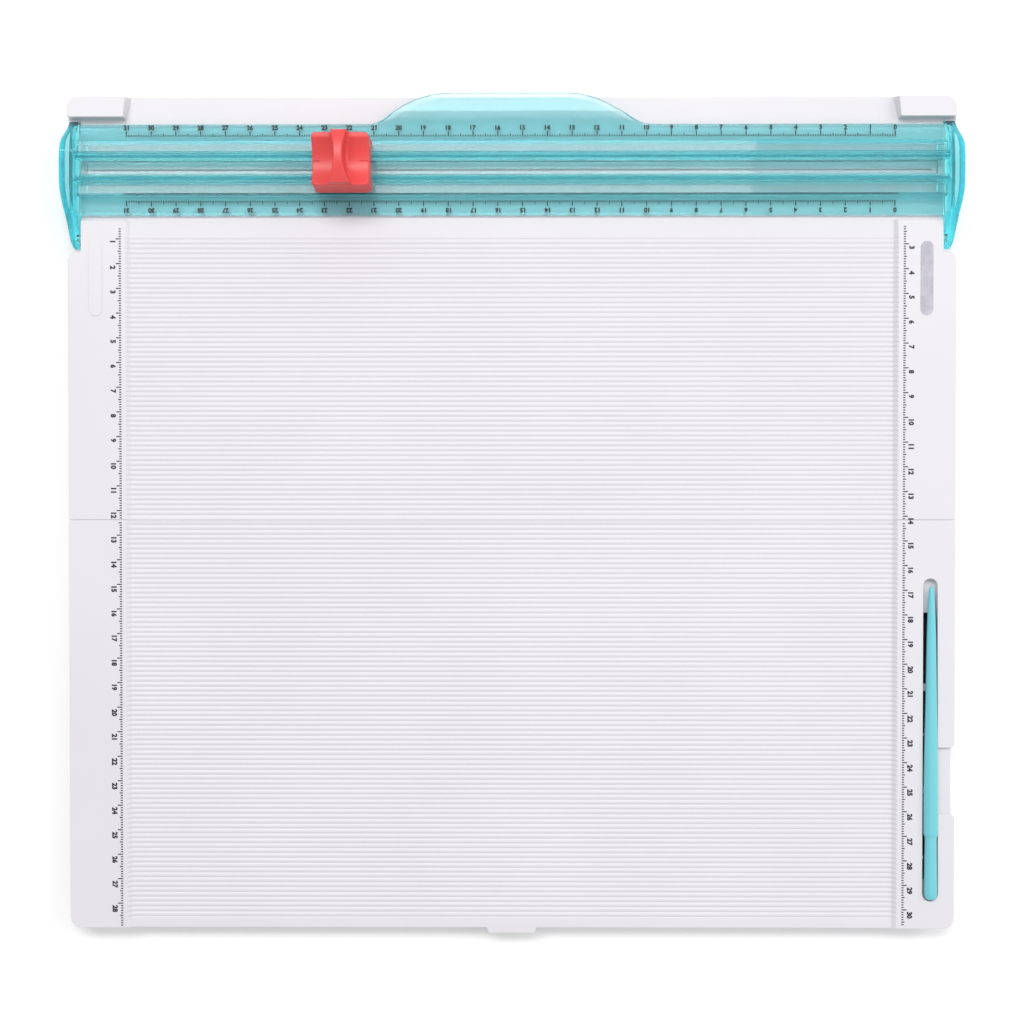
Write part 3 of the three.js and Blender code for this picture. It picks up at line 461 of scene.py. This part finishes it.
def add_seam_lip():
    """A light lip on the front half that fills most of the seam just below the surface."""
    sink = 0.22
    seam_sides = (SEAM_Y - 0.21, SEAM_Y + 0.14)
    slope = BORDER_Z - BED_Z
    wide = CHANNEL_HALF_WIDTH + slope
    edge = 179.0
    outline = [
        (-edge, BORDER_Z - sink), (-wide, BORDER_Z - sink), (-CHANNEL_HALF_WIDTH, BED_Z - sink),
        (CHANNEL_HALF_WIDTH, BED_Z - sink), (wide, BORDER_Z - sink), (edge, BORDER_Z - sink),
        (edge, BED_Z - 1), (-edge, BED_Z - 1),
    ]
    bm = bmesh.new()
    skin(bm, [[(x, y, z) for x, z in outline] for y in seam_sides])
    add_piece("seam_lip", bm, WHITE, "front_half")


def add_pocket_parts():
    """Two locating nubs on the pocket's left wall, and a near-black pad below the pocket: painted shade
    for the deep shadow in its open underside.
    """
    # The pad is painted shade: a near-black sheet where the open underside of the pocket would lie in
    # deep shadow
    pad = bmesh.new()
    add_box(pad, (165.9, 174.4), (-152.0, -36.0), (3.05, 3.7))
    add_piece("pocket_painted_shade_pad", bevelled(pad, 0.2, segments=2), POCKET_SHADE_PAINT, "front_half")
    nubs = bmesh.new()
    root_x, tip_x, half_length, corner = 166.6, 167.5, 0.9, 0.7
    for y in (-139.0, -89.0):
        front_y, rear_y = y - half_length, y + half_length
        outline = filleted([
            (root_x, front_y, 0), (tip_x, front_y, corner), (tip_x, rear_y, corner), (root_x, rear_y, 0),
        ])
        skin(nubs, [[(p.x, p.y, z) for p in outline] for z in (8.2, 10.6)])
    add_piece("pocket_nubs", nubs, WHITE, "front_half")


# ------------------------------------------------------------------ stylus, feet and pins

def add_stylus():
    """A tapering rod lying in its pocket: slimmer handle, collar step, rounded nib."""
    length = STYLUS_HIGH.y - STYLUS_LOW.y
    radius = (STYLUS_HIGH.x - STYLUS_LOW.x) / 2
    place = ((STYLUS_LOW.x + STYLUS_HIGH.x) / 2, STYLUS_LOW.y, (STYLUS_LOW.z + STYLUS_HIGH.z) / 2)
    profile = [
        (0, 0), (1.2, 0.06), (1.8, 0.3), (2.25, 0.8), (2.5, 1.7), (2.6, 3.2), (2.58, 8),
        (2.45, 17), (2.36, 24), (2.36, 25.2), (2.44, 25.7), (2.72, 26.3), (radius - 0.08, 26.8),
        (radius, 27.4), (radius, 36), (radius - 0.02, 45), (2.78, 55), (2.58, 66), (2.38, 76),
        (2.18, 86), (2.02, 97), (1.82, 108), (1.6, 115), (1.35, 120.5), (1.12, 124.5),
        (0.98, length - 1.2), (0.8, length - 0.55), (0.45, length - 0.12), (0, length),
    ]
    rod = lathe(profile, place, (0, 1, 0))
    add_piece("stylus_rod", rod, STYLUS_BLUE, "stylus", ("scoring_stylus",))


def add_feet():
    """Push-in rubber feet, domed at the rim and hollowed a little under the pad."""
    for node in nodes:
        if "_foot_" not in node:
            continue
        low, high = box_mm(node)
        radius = (high.x - low.x) / 2
        top = 2.7
        stem = 1.5
        profile = [
            (0, 0.35), (radius - 2.0, 0.35), (radius - 1.7, 0.25), (radius - 1.45, 0),
            (radius - 0.6, 0), (radius - 0.2, 0.15), (radius, 0.55), (radius, top - 0.4),
            (radius - 0.12, top - 0.12), (radius - 0.4, top), (stem, top), (stem, high.z - 0.3),
            (stem - 0.3, high.z), (0, high.z),
        ]
        place = ((low.x + high.x) / 2, (low.y + high.y) / 2, 0)
        body = node.split("_foot_")[0]
        pad = lathe(profile, place, (0, 0, 1), 32)
        add_piece(f"{node}_pad", pad, RUBBER, body, (node,))


def add_pins():
    """Steel pins with small chamfers, lying along X or, for the blade pin, along Y."""
    bodies = {
        "left_fold_pin": "rear_half", "right_fold_pin": "rear_half", "blade_pin": "knob",
        "left_rail_pivot_pin": "rail", "right_rail_pivot_pin": "rail",
    }
    for node, body in bodies.items():
        low, high = box_mm(node)
        middle = (low + high) / 2
        radius = (high.z - low.z) / 2
        along = 1 if node == "blade_pin" else 0
        length = high[along] - low[along]
        start = middle.copy()
        start[along] = low[along]
        chamfer = 0.25
        profile = [
            (0, 0), (radius - chamfer, 0), (radius, chamfer), (radius, length - chamfer),
            (radius - chamfer, length), (0, length),
        ]
        axis = (0, 1, 0) if along else (1, 0, 0)
        rod = lathe(profile, start, axis, 24)
        add_piece(f"{node}_rod", rod, STEEL, body, (node,))


# ------------------------------------------------------------------ rail

def tab_reach():
    """The rear edge of the rail over X, as points (x, v): straight, with the lift tab."""
    rear = RAIL_HIGH.y - CUT_Y
    past = 90
    corners = [
        (-past, 0, 0), (-past, RAIL_REAR_V, 0), (-54.6, RAIL_REAR_V, 14), (-36, rear, 38),
        (31, rear, 34), (53.4, RAIL_REAR_V, 14), (past, RAIL_REAR_V, 0), (past, 0, 0),
    ]
    return filleted(corners, 16)[1:-1]


def interpolated(points, x):
    """The second coordinate, at x, of a line through points in order of x."""
    for a, b in zip(points, points[1:]):
        if a.x <= x <= b.x and b.x > a.x:
            return a.y + (b.y - a.y) * (x - a.x) / (b.x - a.x)
    return points[0].y


def rear_profile(end):
    """The rail's rear edge or tab, from the flange top round to its underside, up to v = end."""
    crown_v = TAB_BOTTOM_RISE_V + TAB_RISE
    climb = [0.1 * k for k in range(11)]
    crown = [crown_v + 0.8 * k for k in range(11)]

    def surface(start_v, flange_z, tab_z):
        """Points (v, z) that climb from the flange to the tab and droop towards its rear."""
        points = []
        for v in [FLANGE_END_V] + [start_v + TAB_RISE * t for t in climb] + crown:
            droop = TAB_CROWN * (max(v - (start_v + TAB_RISE), 0) / TAB_CROWN_REACH) ** 2
            rise = (tab_z - flange_z) * smoothstep((v - start_v) / TAB_RISE)
            points.append((v, flange_z + rise - droop))
        return points

    def clipped(curve, limit):
        """The same points, with those past a limit drawn back to it."""
        kept = []
        height = curve[0][1]
        for (v0, z0), (v1, z1) in zip(curve, curve[1:]):
            if v0 <= limit <= v1:
                height = z0 + (z1 - z0) * (limit - v0) / (v1 - v0)
        for v, z in curve:
            kept.append((v, z) if v < limit else (limit, height))
        return kept

    rim = 0.4
    upper = clipped(surface(TAB_TOP_RISE_V, FLANGE_Z, TAB_TOP_Z), end - rim)
    lower = clipped(surface(TAB_BOTTOM_RISE_V, RAIL_Z, TAB_BOTTOM_Z), end - rim)
    z1, z0 = upper[-1][1], lower[-1][1]
    turn = math.radians(45)
    nose = [
        (end - rim * (1 - math.sin(turn)), z1 - rim * (1 - math.cos(turn))), (end, z1 - rim),
        (end, z0 + rim), (end - rim * (1 - math.sin(turn)), z0 + rim * (1 - math.cos(turn))),
    ]
    return upper + nose + lower[::-1]


def rail_section():
    """The rail's closed outline from its front edge to FLANGE_END_V, without the rear edge.

    Its decks and webs fall slightly towards the rear.
    """

    def upper(outer_fall, inner_fall, web_fall):
        """From the flange over deck and rib to the web, for the side behind the cut line.

        The deck lies lower by outer_fall and inner_fall at its two edges, the web by web_fall.
        """
        return [
            (DECK_OUTER_V, FLANGE_Z, 0.2), (DECK_OUTER_V, DECK_Z[1] - outer_fall, 0.35),
            (RIB_OUTER_V, DECK_Z[1] - inner_fall, 0.25), (RIB_OUTER_V, RIB_TOP_Z, 0.3),
            (RIB_CREST_V, RIB_TOP_Z, 0.25), (RIB_INNER_V, LIP_Z[1], 0.3),
            (RIB_INNER_V, LIP_Z[0], 0.25), (RIB_STEM_V, LIP_Z[0], 0.15),
            (RIB_STEM_V, WEB_Z[1] - web_fall, 0.25),
        ]

    rear_upper = upper(DECK_FALL, 0, WEB_FALL)
    front_upper = upper(0, DECK_FALL, 0)
    lower = [
        (RIB_STEM_V, WEB_Z[0], 0.1), (RIB_STEM_V, RAIL_Z, 0.12), (RIB_OUTER_V, RAIL_Z, 0.2),
        (RIB_OUTER_V, DECK_Z[0], 0.25), (DECK_OUTER_V - DECK_WALL, DECK_Z[0], 0.3),
        (DECK_OUTER_V - DECK_WALL, RAIL_Z, 0.2),
    ]

    def mirrored(corners):
        return [(-v, z, radius) for v, z, radius in corners]

    chamfer = 0.9
    front = [
        (RAIL_FRONT_V, RAIL_Z, 0.2), (RAIL_FRONT_V, FLANGE_Z - chamfer, 0.25),
        (RAIL_FRONT_V + chamfer, FLANGE_Z, 0.25),
    ]
    ends = [(FLANGE_END_V, FLANGE_Z, 0), (FLANGE_END_V, RAIL_Z, 0)]
    slot = SLOT_HALF_WIDTH
    web_top = [(-slot, WEB_Z[1] - WEB_FALL, 0), (slot, WEB_Z[1], 0)]
    web_bottom = [(slot, WEB_Z[0], 0), (-slot, WEB_Z[0], 0)]
    corners = front + mirrored(front_upper) + web_top + rear_upper[::-1] + ends
    corners += lower[::-1] + web_bottom + mirrored(lower)
    return filleted(corners, 3)


def add_rail():
    """The clear rail as one skin over cross-sections, with its slot and its lift tab."""
    section = rail_section()
    ends = [i for i, p in enumerate(section) if abs(p.x - FLANGE_END_V) < 1e-6]
    slots = [i for i, p in enumerate(section) if abs(abs(p.x) - SLOT_HALF_WIDTH) < 1e-6]
    reach = tab_reach()
    steps = int(TAB_SPAN[1] - TAB_SPAN[0])
    outer = [RAIL_LOW.x, -SLOT_HALF_LENGTH]
    stations = outer + [TAB_SPAN[0] + i for i in range(steps + 1)] + [-x for x in outer[::-1]]
    shift = len(rear_profile(RAIL_REAR_V)) - 2
    slots = [i if i < ends[0] else i + shift for i in slots]

    bm = bmesh.new()
    loops = []
    for x in stations:
        before = [(p.x, p.y) for p in section[:ends[0]]]
        after = [(p.x, p.y) for p in section[ends[1] + 1:]]
        profile = before + rear_profile(interpolated(reach, x)) + after
        loops.append([bm.verts.new((x, CUT_Y + v, z)) for v, z in profile])
    count = len(loops[0])
    # Between the second and the last but one station, the slot divides the section in two
    top_left, top_right, bottom_right, bottom_left = slots
    for k, (here, there) in enumerate(zip(loops, loops[1:])):
        slotted = 0 < k < len(loops) - 2
        for i in range(count):
            if slotted and i in (top_left, bottom_right):
                continue
            j = (i + 1) % count
            bm.faces.new((here[i], here[j], there[j], there[i]))
        if slotted:
            bm.faces.new((here[top_left], here[bottom_left], there[bottom_left], there[top_left]))
            bm.faces.new((here[bottom_right], here[top_right], there[top_right], there[bottom_right]))
    for end in (loops[1], loops[-2]):
        bm.faces.new([end[i] for i in slots])
    bm.faces.new(loops[0][::-1])
    bm.faces.new(loops[-1])
    bmesh.ops.remove_doubles(bm, verts=bm.verts, dist=1e-5)
    add_piece("rail_extrusion", bm, CLEAR_BLUE, "rail", ("cutter_rail",))


def add_end_caps():
    """The end caps, with their outer side drawn in towards both ends of the arch."""
    for side in ("left", "right"):
        node = f"{side}_rail_end_cap"
        low, high = box_mm(node)
        outer_x = max(abs(low.x), abs(high.x))
        cap = bevelled(node_copy(node), 0.3)
        for k in range(1, CAP_SLICES):
            y = low.y + (high.y - low.y) * k / CAP_SLICES
            everything = cap.verts[:] + cap.edges[:] + cap.faces[:]
            bmesh.ops.bisect_plane(cap, geom=everything, plane_co=(0, y, 0), plane_no=(0, 1, 0))
        for vert in cap.verts:
            beyond = abs(vert.co.x) - CAP_INNER_X
            if beyond > 0:
                end, end_y = ("rear", high.y) if vert.co.y > CUT_Y else ("front", low.y)
                share = (vert.co.y - CUT_Y) / (end_y - CUT_Y)
                shrink = 1 - CAP_TAPER[end] * share ** 3 / (outer_x - CAP_INNER_X)
                vert.co.x = math.copysign(CAP_INNER_X + beyond * shrink, vert.co.x)
        arch = in_order(cap)
        add_piece(f"{side}_end_cap_arch", arch, CLEAR_BLUE, "rail", (node,))


# ------------------------------------------------------------------ carriage

def dish_height(v):
    """Top of the knob at v: a round dish that blends into the front lip and the flat rear rim."""
    depth = KNOB_RIM_Z - DISH_Z
    half = (DISH_V[1] - DISH_V[0]) / 2
    radius = (half ** 2 + depth ** 2) / (2 * depth)
    off = abs(v - (DISH_V[0] + DISH_V[1]) / 2)
    dish = DISH_Z + radius - math.sqrt(max(radius ** 2 - off ** 2, 0))
    blend = 0.1
    gap = (dish - KNOB_RIM_Z) / blend
    return KNOB_RIM_Z - blend * math.log1p(math.exp(-gap))


def rounded_offset(x, v, half, radius):
    """Outward direction at a point of a rounded rectangle's edge."""
    cx = math.copysign(max(abs(x) - (half[0] - radius), 0), x)
    cv = math.copysign(max(abs(v) - (half[1] - radius), 0), v)
    return Vector((cx, cv)).normalized()


def knob_rows():
    """Distances v of the rows across the knob's top, closer at its corners and index marks."""
    straight = KNOB_HALF[1] - KNOB_CORNER_R
    inner = KNOB_CORNER_R - KNOB_EDGE_R
    ends = [straight + inner * math.sin(math.radians(15 * k)) for k in range(7)]
    middle = [-straight + ROW_PITCH * k for k in range(1, int(2 * straight / ROW_PITCH))]
    front, rear = INDEX_V
    marks = [front - INDEX_SHOULDER, front, rear, rear + INDEX_SHOULDER]
    clear = 0.06
    middle = [v for v in middle if not marks[0] - clear < v < marks[-1] + clear]
    return sorted([-v for v in ends] + middle + marks + ends)


def knob_shell():
    """The knob's dished top, drafted walls and the cavity under it."""
    half = (KNOB_HALF[0] - KNOB_EDGE_R, KNOB_HALF[1] - KNOB_EDGE_R)
    corner = KNOB_CORNER_R - KNOB_EDGE_R
    marks = {side: 1 - length / half[0] for side, length in INDEX_LENGTH.items()}
    shoulder = 0.012
    columns = sorted(
        {round(-1 + k / 20, 4) for k in range(41)} | {0.985, -0.985}
        | {side * (at + nudge) for side, at in marks.items() for nudge in (0, shoulder)}
    )
    bm = bmesh.new()
    grid = []
    for v in knob_rows():
        past = max(abs(v) - (half[1] - corner), 0)
        width = half[0] - corner + math.sqrt(max(corner ** 2 - past ** 2, 0))
        on_mark = INDEX_V[0] - 0.01 < v < INDEX_V[1] + 0.01
        row = []
        for u in columns:
            start = marks[1 if u > 0 else -1] + shoulder / 2
            sink = INDEX_DEPTH if on_mark and abs(u) > start else 0
            row.append(bm.verts.new((u * width, v, dish_height(v) - sink)))
        grid.append(row)
    for low, high in zip(grid, grid[1:]):
        for i in range(len(columns) - 1):
            bm.faces.new((low[i], low[i + 1], high[i + 1], high[i]))

    rim = grid[0] + [row[-1] for row in grid[1:]] + grid[-1][-2::-1]
    rim += [row[0] for row in grid[-2:0:-1]]
    outward = [rounded_offset(p.co.x, p.co.y, half, corner) for p in rim]
    floor_z = KNOB_LOW.z
    flare = Vector(KNOB_FLARE)
    loop = rim
    # Rings down the wall: how far out, share of the flare, height below the rim or above the foot
    rings = []
    for k in range(1, 5):
        turn = math.radians(22.5 * k)
        rings.append((KNOB_EDGE_R * math.sin(turn), 0.0, KNOB_EDGE_R * (1 - math.cos(turn))))
    rings += [(KNOB_EDGE_R, 0.97, 0.25), (KNOB_EDGE_R - 0.15, 1.0, 0.0)]
    for reach, share, height in rings:
        ring = []
        for start, way in zip(rim, outward):
            z = floor_z + height if share else start.co.z - height
            x = start.co.x + way.x * (reach + flare.x * share)
            y = start.co.y + way.y * (reach + flare.y * share)
            ring.append(bm.verts.new((x, y, z)))
        for i in range(len(rim)):
            j = (i + 1) % len(rim)
            bm.faces.new((loop[i], loop[j], ring[j], ring[i]))
        loop = ring
    bm.faces.new(loop)

    cavity = bmesh.new()
    x, y = KNOB_CAVITY
    inside = filleted([(-x, -y, 1), (x, -y, 1), (x, y, 1), (-x, y, 1)])
    skin(cavity, [[(p.x, p.y, z) for p in inside] for z in (floor_z - 1, KNOB_CEILING_Z)])
    return combined(bm, cavity, "DIFFERENCE")


def knob_fin():
    """The hourglass grip fin, flared where it meets the dish."""
    half = KNOB_HALF[1] - 0.2
    steps = 34
    rings = []
    for k in range(steps + 1):
        v = -half + 2 * half * k / steps
        share = (v / half) ** 2
        waist = FIN_WAIST + FIN_SPREAD["rear" if v > 0 else "front"] * share
        top = KNOB_HIGH.z - FIN_DROP * share
        foot = dish_height(v)
        root = waist + FIN_FLARE + 0.3
        side = [(root, foot - 0.7), (root, foot - 0.03)]
        for step in range(6):
            turn = math.radians(18 * step)
            x = waist + 0.25 + FIN_FLARE * (1 - math.sin(turn))
            side.append((x, foot + FIN_FLARE * (1 - math.cos(turn))))
        side.append((waist + 0.08, (foot + top) / 2))
        for step in range(5):
            turn = math.radians(22.5 * step)
            x = waist - FIN_EDGE_R * (1 - math.cos(turn))
            side.append((x, top - FIN_EDGE_R * (1 - math.sin(turn))))
        ring = [Vector((x, v, z)) for x, z in side]
        ring += [Vector((-x, v, z)) for x, z in reversed(side)]
        rings.append(ring)
    bm = bmesh.new()
    skin(bm, rings)
    return bm


def add_knob():
    """The knob with its fin, cut out below to clear the rail's ribs."""
    knob = combined(knob_shell(), knob_fin(), "UNION")
    arch = bmesh.new()
    half = RIB_OUTER_V + 0.6
    foot_z = KNOB_LOW.z - 1
    past = 13
    opening = filleted([
        (-half, foot_z, 0), (half, foot_z, 0), (half, ARCH_TOP_Z, 0.8), (-half, ARCH_TOP_Z, 0.8),
    ])
    skin(arch, [[(x, p.x, p.y) for p in opening] for x in (-past, past)])
    knob = combined(knob, arch, "DIFFERENCE")
    bmesh.ops.remove_doubles(knob, verts=knob.verts, dist=1e-4)
    bmesh.ops.translate(knob, vec=(KNOB_X, CUT_Y, 0), verts=knob.verts)
    add_piece("press_knob_grip", knob, RED, "knob", ("press_knob",), 40.0)


def add_carriage():
    """The knob, and the moulded pieces under it with their edges rounded."""
    edge_r = 0.15
    add_knob()
    shoe = bevelled(node_copy("slide_shoe"), edge_r, segments=2)
    add_piece("slide_shoe_body", shoe, SHOE, "carriage", ("slide_shoe",))
    holder = bevelled(node_copy("blade_holder"), edge_r, segments=2)
    add_piece("blade_holder_body", holder, SHOE, "knob", ("blade_holder",))


# ------------------------------------------------------------------ printing

def numeral_outline(text, height):
    """A printed number centred on the origin, as (points, faces, width)."""
    curve = bpy.data.curves.new("numeral", "FONT")
    curve.body = text
    curve.align_x = "CENTER"
    curve.resolution_u = 3
    curve.offset = NUMERAL_BOLDNESS
    obj = bpy.data.objects.new("numeral", curve)
    bpy.context.scene.collection.objects.link(obj)
    depsgraph = bpy.context.evaluated_depsgraph_get()
    mesh = bpy.data.meshes.new_from_object(obj.evaluated_get(depsgraph))
    points = [v.co.copy() for v in mesh.vertices]
    faces = [list(p.vertices) for p in mesh.polygons]
    bpy.data.objects.remove(obj)
    bpy.data.curves.remove(curve)
    bpy.data.meshes.remove(mesh)
    low_x, high_x = min(p.x for p in points), max(p.x for p in points)
    low_y, high_y = min(p.y for p in points), max(p.y for p in points)
    middle = Vector(((low_x + high_x) / 2, (low_y + high_y) / 2, 0))
    scale = height / (high_y - low_y)
    return [(p - middle) * scale for p in points], faces, (high_x - low_x) * scale


def print_numeral(bm, shape, x, y, z, turn=0.0):
    """Adds a number as thin ink, turned about Z by an angle in degrees."""
    points, faces = shape[:2]
    place = Matrix.Translation((x, y, z)) @ Matrix.Rotation(math.radians(turn), 4, "Z")
    low = [bm.verts.new(place @ p) for p in points]
    high = [bm.verts.new(place @ (p + Vector((0, 0, INK)))) for p in points]
    sides = {}                               # keeps the order in which the sides are met
    for face in faces:
        bm.faces.new([high[i] for i in face])
        bm.faces.new([low[i] for i in reversed(face)])
        for a, b in zip(face, face[1:] + face[:1]):
            sides[(a, b)] = True
    for a, b in sides:
        if (b, a) not in sides:
            bm.faces.new((low[a], low[b], high[b], high[a]))


def print_tick(bm, x, y, z, length, along, width=TICK_WIDTH):
    """Adds a tick that starts at x, y and runs a signed length along X ("x") or Y ("y")."""
    half = width / 2
    ends = sorted((0, length))
    if along == "x":
        add_box(bm, (x + ends[0], x + ends[1]), (y - half, y + half), (z, z + INK))
    else:
        add_box(bm, (x - half, x + half), (y + ends[0], y + ends[1]), (z, z + INK))


def tick_length(count, lengths):
    """Length of the tick at a whole number of millimetres, given those for 1, 5 and 10 mm."""
    if count % 10 == 0:
        return lengths[2]
    return lengths[1] if count % 5 == 0 else lengths[0]


def add_rail_rulers():
    """Two rulers of 31 cm on the rail's flanges, and a row of dashes on the front deck."""
    shapes = [numeral_outline(str(c), RAIL_NUMERAL) for c in range(32)]
    z = FLANGE_Z + INK_GAP
    deck_z = DECK_Z[1] + INK_GAP
    for name, way, start, lengths, numeral_v, turn in (
        ("rail_rear_ruler", 1, 13.1, (0.8, 1.3, 2.3), 16.75, 0.0),
        ("rail_front_ruler", -1, 12.5, (0.8, 1.4, 2.3), 16.5, 180.0),
    ):
        bm = bmesh.new()
        for count in range(311):
            x = RAIL_ZERO_X - count
            length = way * tick_length(count, lengths)
            print_tick(bm, x, CUT_Y + way * start, z, length, "y")
            if way < 0:
                print_tick(bm, x, CUT_Y + DASH_V, deck_z, DASH_LENGTH, "y", DASH_WIDTH)
        for c, shape in enumerate(shapes):
            print_numeral(bm, shape, RAIL_ZERO_X - 10 * c, CUT_Y + way * numeral_v, z, turn)
        add_piece(name, bm, BLACK_INK, "rail")


def add_border_rulers():
    """A ruler down each border, in a piece for each half of the board."""
    z = BORDER_Z + INK_GAP
    figure_gap = 0.8                         # between a centimetre and its figure
    figure_inset = 3.3                       # from the ticks' inner end to the figure's middle
    seam_clear = 0.4
    shapes = {c: numeral_outline(str(c), BORDER_NUMERAL) for c in range(1, 31)}
    for side, tick_x, zero, marks in (
        (-1, LEFT_TICK_X, LEFT_ZERO_Y, range(1, 29)),
        (1, RIGHT_TICK_X, RIGHT_ZERO_Y, range(3, 31)),
    ):
        label = "left" if side < 0 else "right"
        for half, limits in (
            ("rear", (SEAM_Y + seam_clear, BORDER_TICK_ENDS[0])),
            ("front", (BORDER_TICK_ENDS[1], SEAM_Y - seam_clear)),
        ):
            bm = bmesh.new()
            for count in range(320):
                y = zero - count
                if limits[0] < y < limits[1]:
                    length = side * tick_length(count, BORDER_TICKS)
                    print_tick(bm, tick_x, y, z, length, "x")
            for c in marks:
                y = zero - 10 * c
                if limits[0] < y < limits[1]:
                    width = shapes[c][2]
                    middle_y = y - figure_gap - width / 2
                    middle_x = tick_x + side * figure_inset
                    print_numeral(bm, shapes[c], middle_x, middle_y, z, -90.0)
            add_piece(f"{label}_{half}_ruler", bm, BLACK_INK, f"{half}_half")


def pill(x, y, radius, z):
    """A bar with round ends, between two limits of y and two heights."""
    corners = [
        (x - radius, y[0], radius), (x + radius, y[0], radius),
        (x + radius, y[1], radius), (x - radius, y[1], radius),
    ]
    bm = bmesh.new()
    skin(bm, [[(p.x, p.y, height) for p in filleted(corners, 12)] for height in z])
    return bm


def add_labels():
    """A plain raised bar on the left border and a plain printed one on the right border."""
    raised = (BORDER_Z - 0.2, BORDER_Z + 0.28)
    left = bevelled(pill(LEFT_LABEL_X, LABEL_Y, LABEL_R, raised), 0.15, segments=2)
    add_piece("left_raised_bar", left, WHITE, "rear_half")
    printed = (BORDER_Z + INK_GAP, BORDER_Z + INK_GAP + INK)
    right = pill(RIGHT_LABEL_X, LABEL_Y, LABEL_R, printed)
    add_piece("right_printed_bar", right, GREY_INK, "rear_half")


# ------------------------------------------------------------------ build

add_board()
add_seam_lip()
add_pocket_parts()
add_stylus()
add_feet()
add_pins()
add_rail()
add_end_caps()
add_carriage()
add_rail_rulers()
add_border_rulers()
add_labels()

for cad_node, material in {
    "cutting_strip": STRIP, "trim_blade": STEEL,
    "left_return_spring": STEEL, "right_return_spring": STEEL,
}.items():
    nodes[cad_node].data.materials.clear()
    nodes[cad_node].data.materials.append(material)


# ------------------------------------------------------------------ stage

def add_floor():
    """A large pale sheet of paper under the object."""
    bm = bmesh.new()
    bmesh.ops.create_grid(bm, x_segments=1, y_segments=1, size=2.0)
    mesh = bpy.data.meshes.new("floor")
    bm.to_mesh(mesh)
    bm.free()
    floor = bpy.data.objects.new("floor", mesh)
    bpy.context.scene.collection.objects.link(floor)
    mat, shader, add, link = new_material("floor_paper")
    coords = colour_variation(add, link, shader, (0.95, 0.95, 0.955), 0.004, 2.0)
    roughness_variation(add, link, shader, coords, 0.8, 0.9, 5.0)
    mesh.materials.append(mat)


def area_light(name, place, target, size, power):
    """A rectangular softbox, sized across and along, that faces a point."""
    data = bpy.data.lights.new(name, "AREA")
    data.shape = "RECTANGLE"
    data.size, data.size_y = size
    data.energy = power
    light = bpy.data.objects.new(name, data)
    light.location = place
    facing = Vector(target) - Vector(place)
    light.rotation_euler = facing.to_track_quat("-Z", "Y").to_euler()
    bpy.context.scene.collection.objects.link(light)


def add_lights():
    """Even white surroundings, a soft key light from the rear and a weak one from the right."""
    world = bpy.data.worlds.new("studio")
    bpy.context.scene.world = world
    world.use_nodes = True
    background = world.node_tree.nodes["Background"]
    background.inputs["Color"].default_value = (1, 1, 1, 1)
    background.inputs["Strength"].default_value = 0.7
    area_light("key_softbox", (-0.28, 0.79, 1.5), (-0.28, 0, 0), (1.3, 0.38), 13.5)
    area_light("fill_softbox", (0.95, 0.3, 0.8), (0, 0, 0), (0.7, 0.7), 4.5)


def add_camera():
    """A camera that looks nearly straight down on the board."""
    height = 550
    data = bpy.data.cameras.new("camera")
    data.sensor_width = 36.0
    data.lens = 47.7
    data.clip_start = 0.01
    camera = bpy.data.objects.new("camera", data)
    place = Vector((2.9, 8.7, BORDER_Z + height)) * MM
    target = Vector((0.2, 1.5, BORDER_Z)) * MM
    forward = (target - place).normalized()
    right = forward.cross(Vector((0, 1, 0))).normalized()
    up = right.cross(forward)
    turn = Matrix((right, up, -forward)).transposed().to_4x4()
    camera.matrix_world = Matrix.Translation(place) @ turn
    bpy.context.scene.collection.objects.link(camera)
    bpy.context.scene.camera = camera


add_floor()
add_lights()
add_camera()
bpy.context.scene.view_settings.view_transform = "Standard"
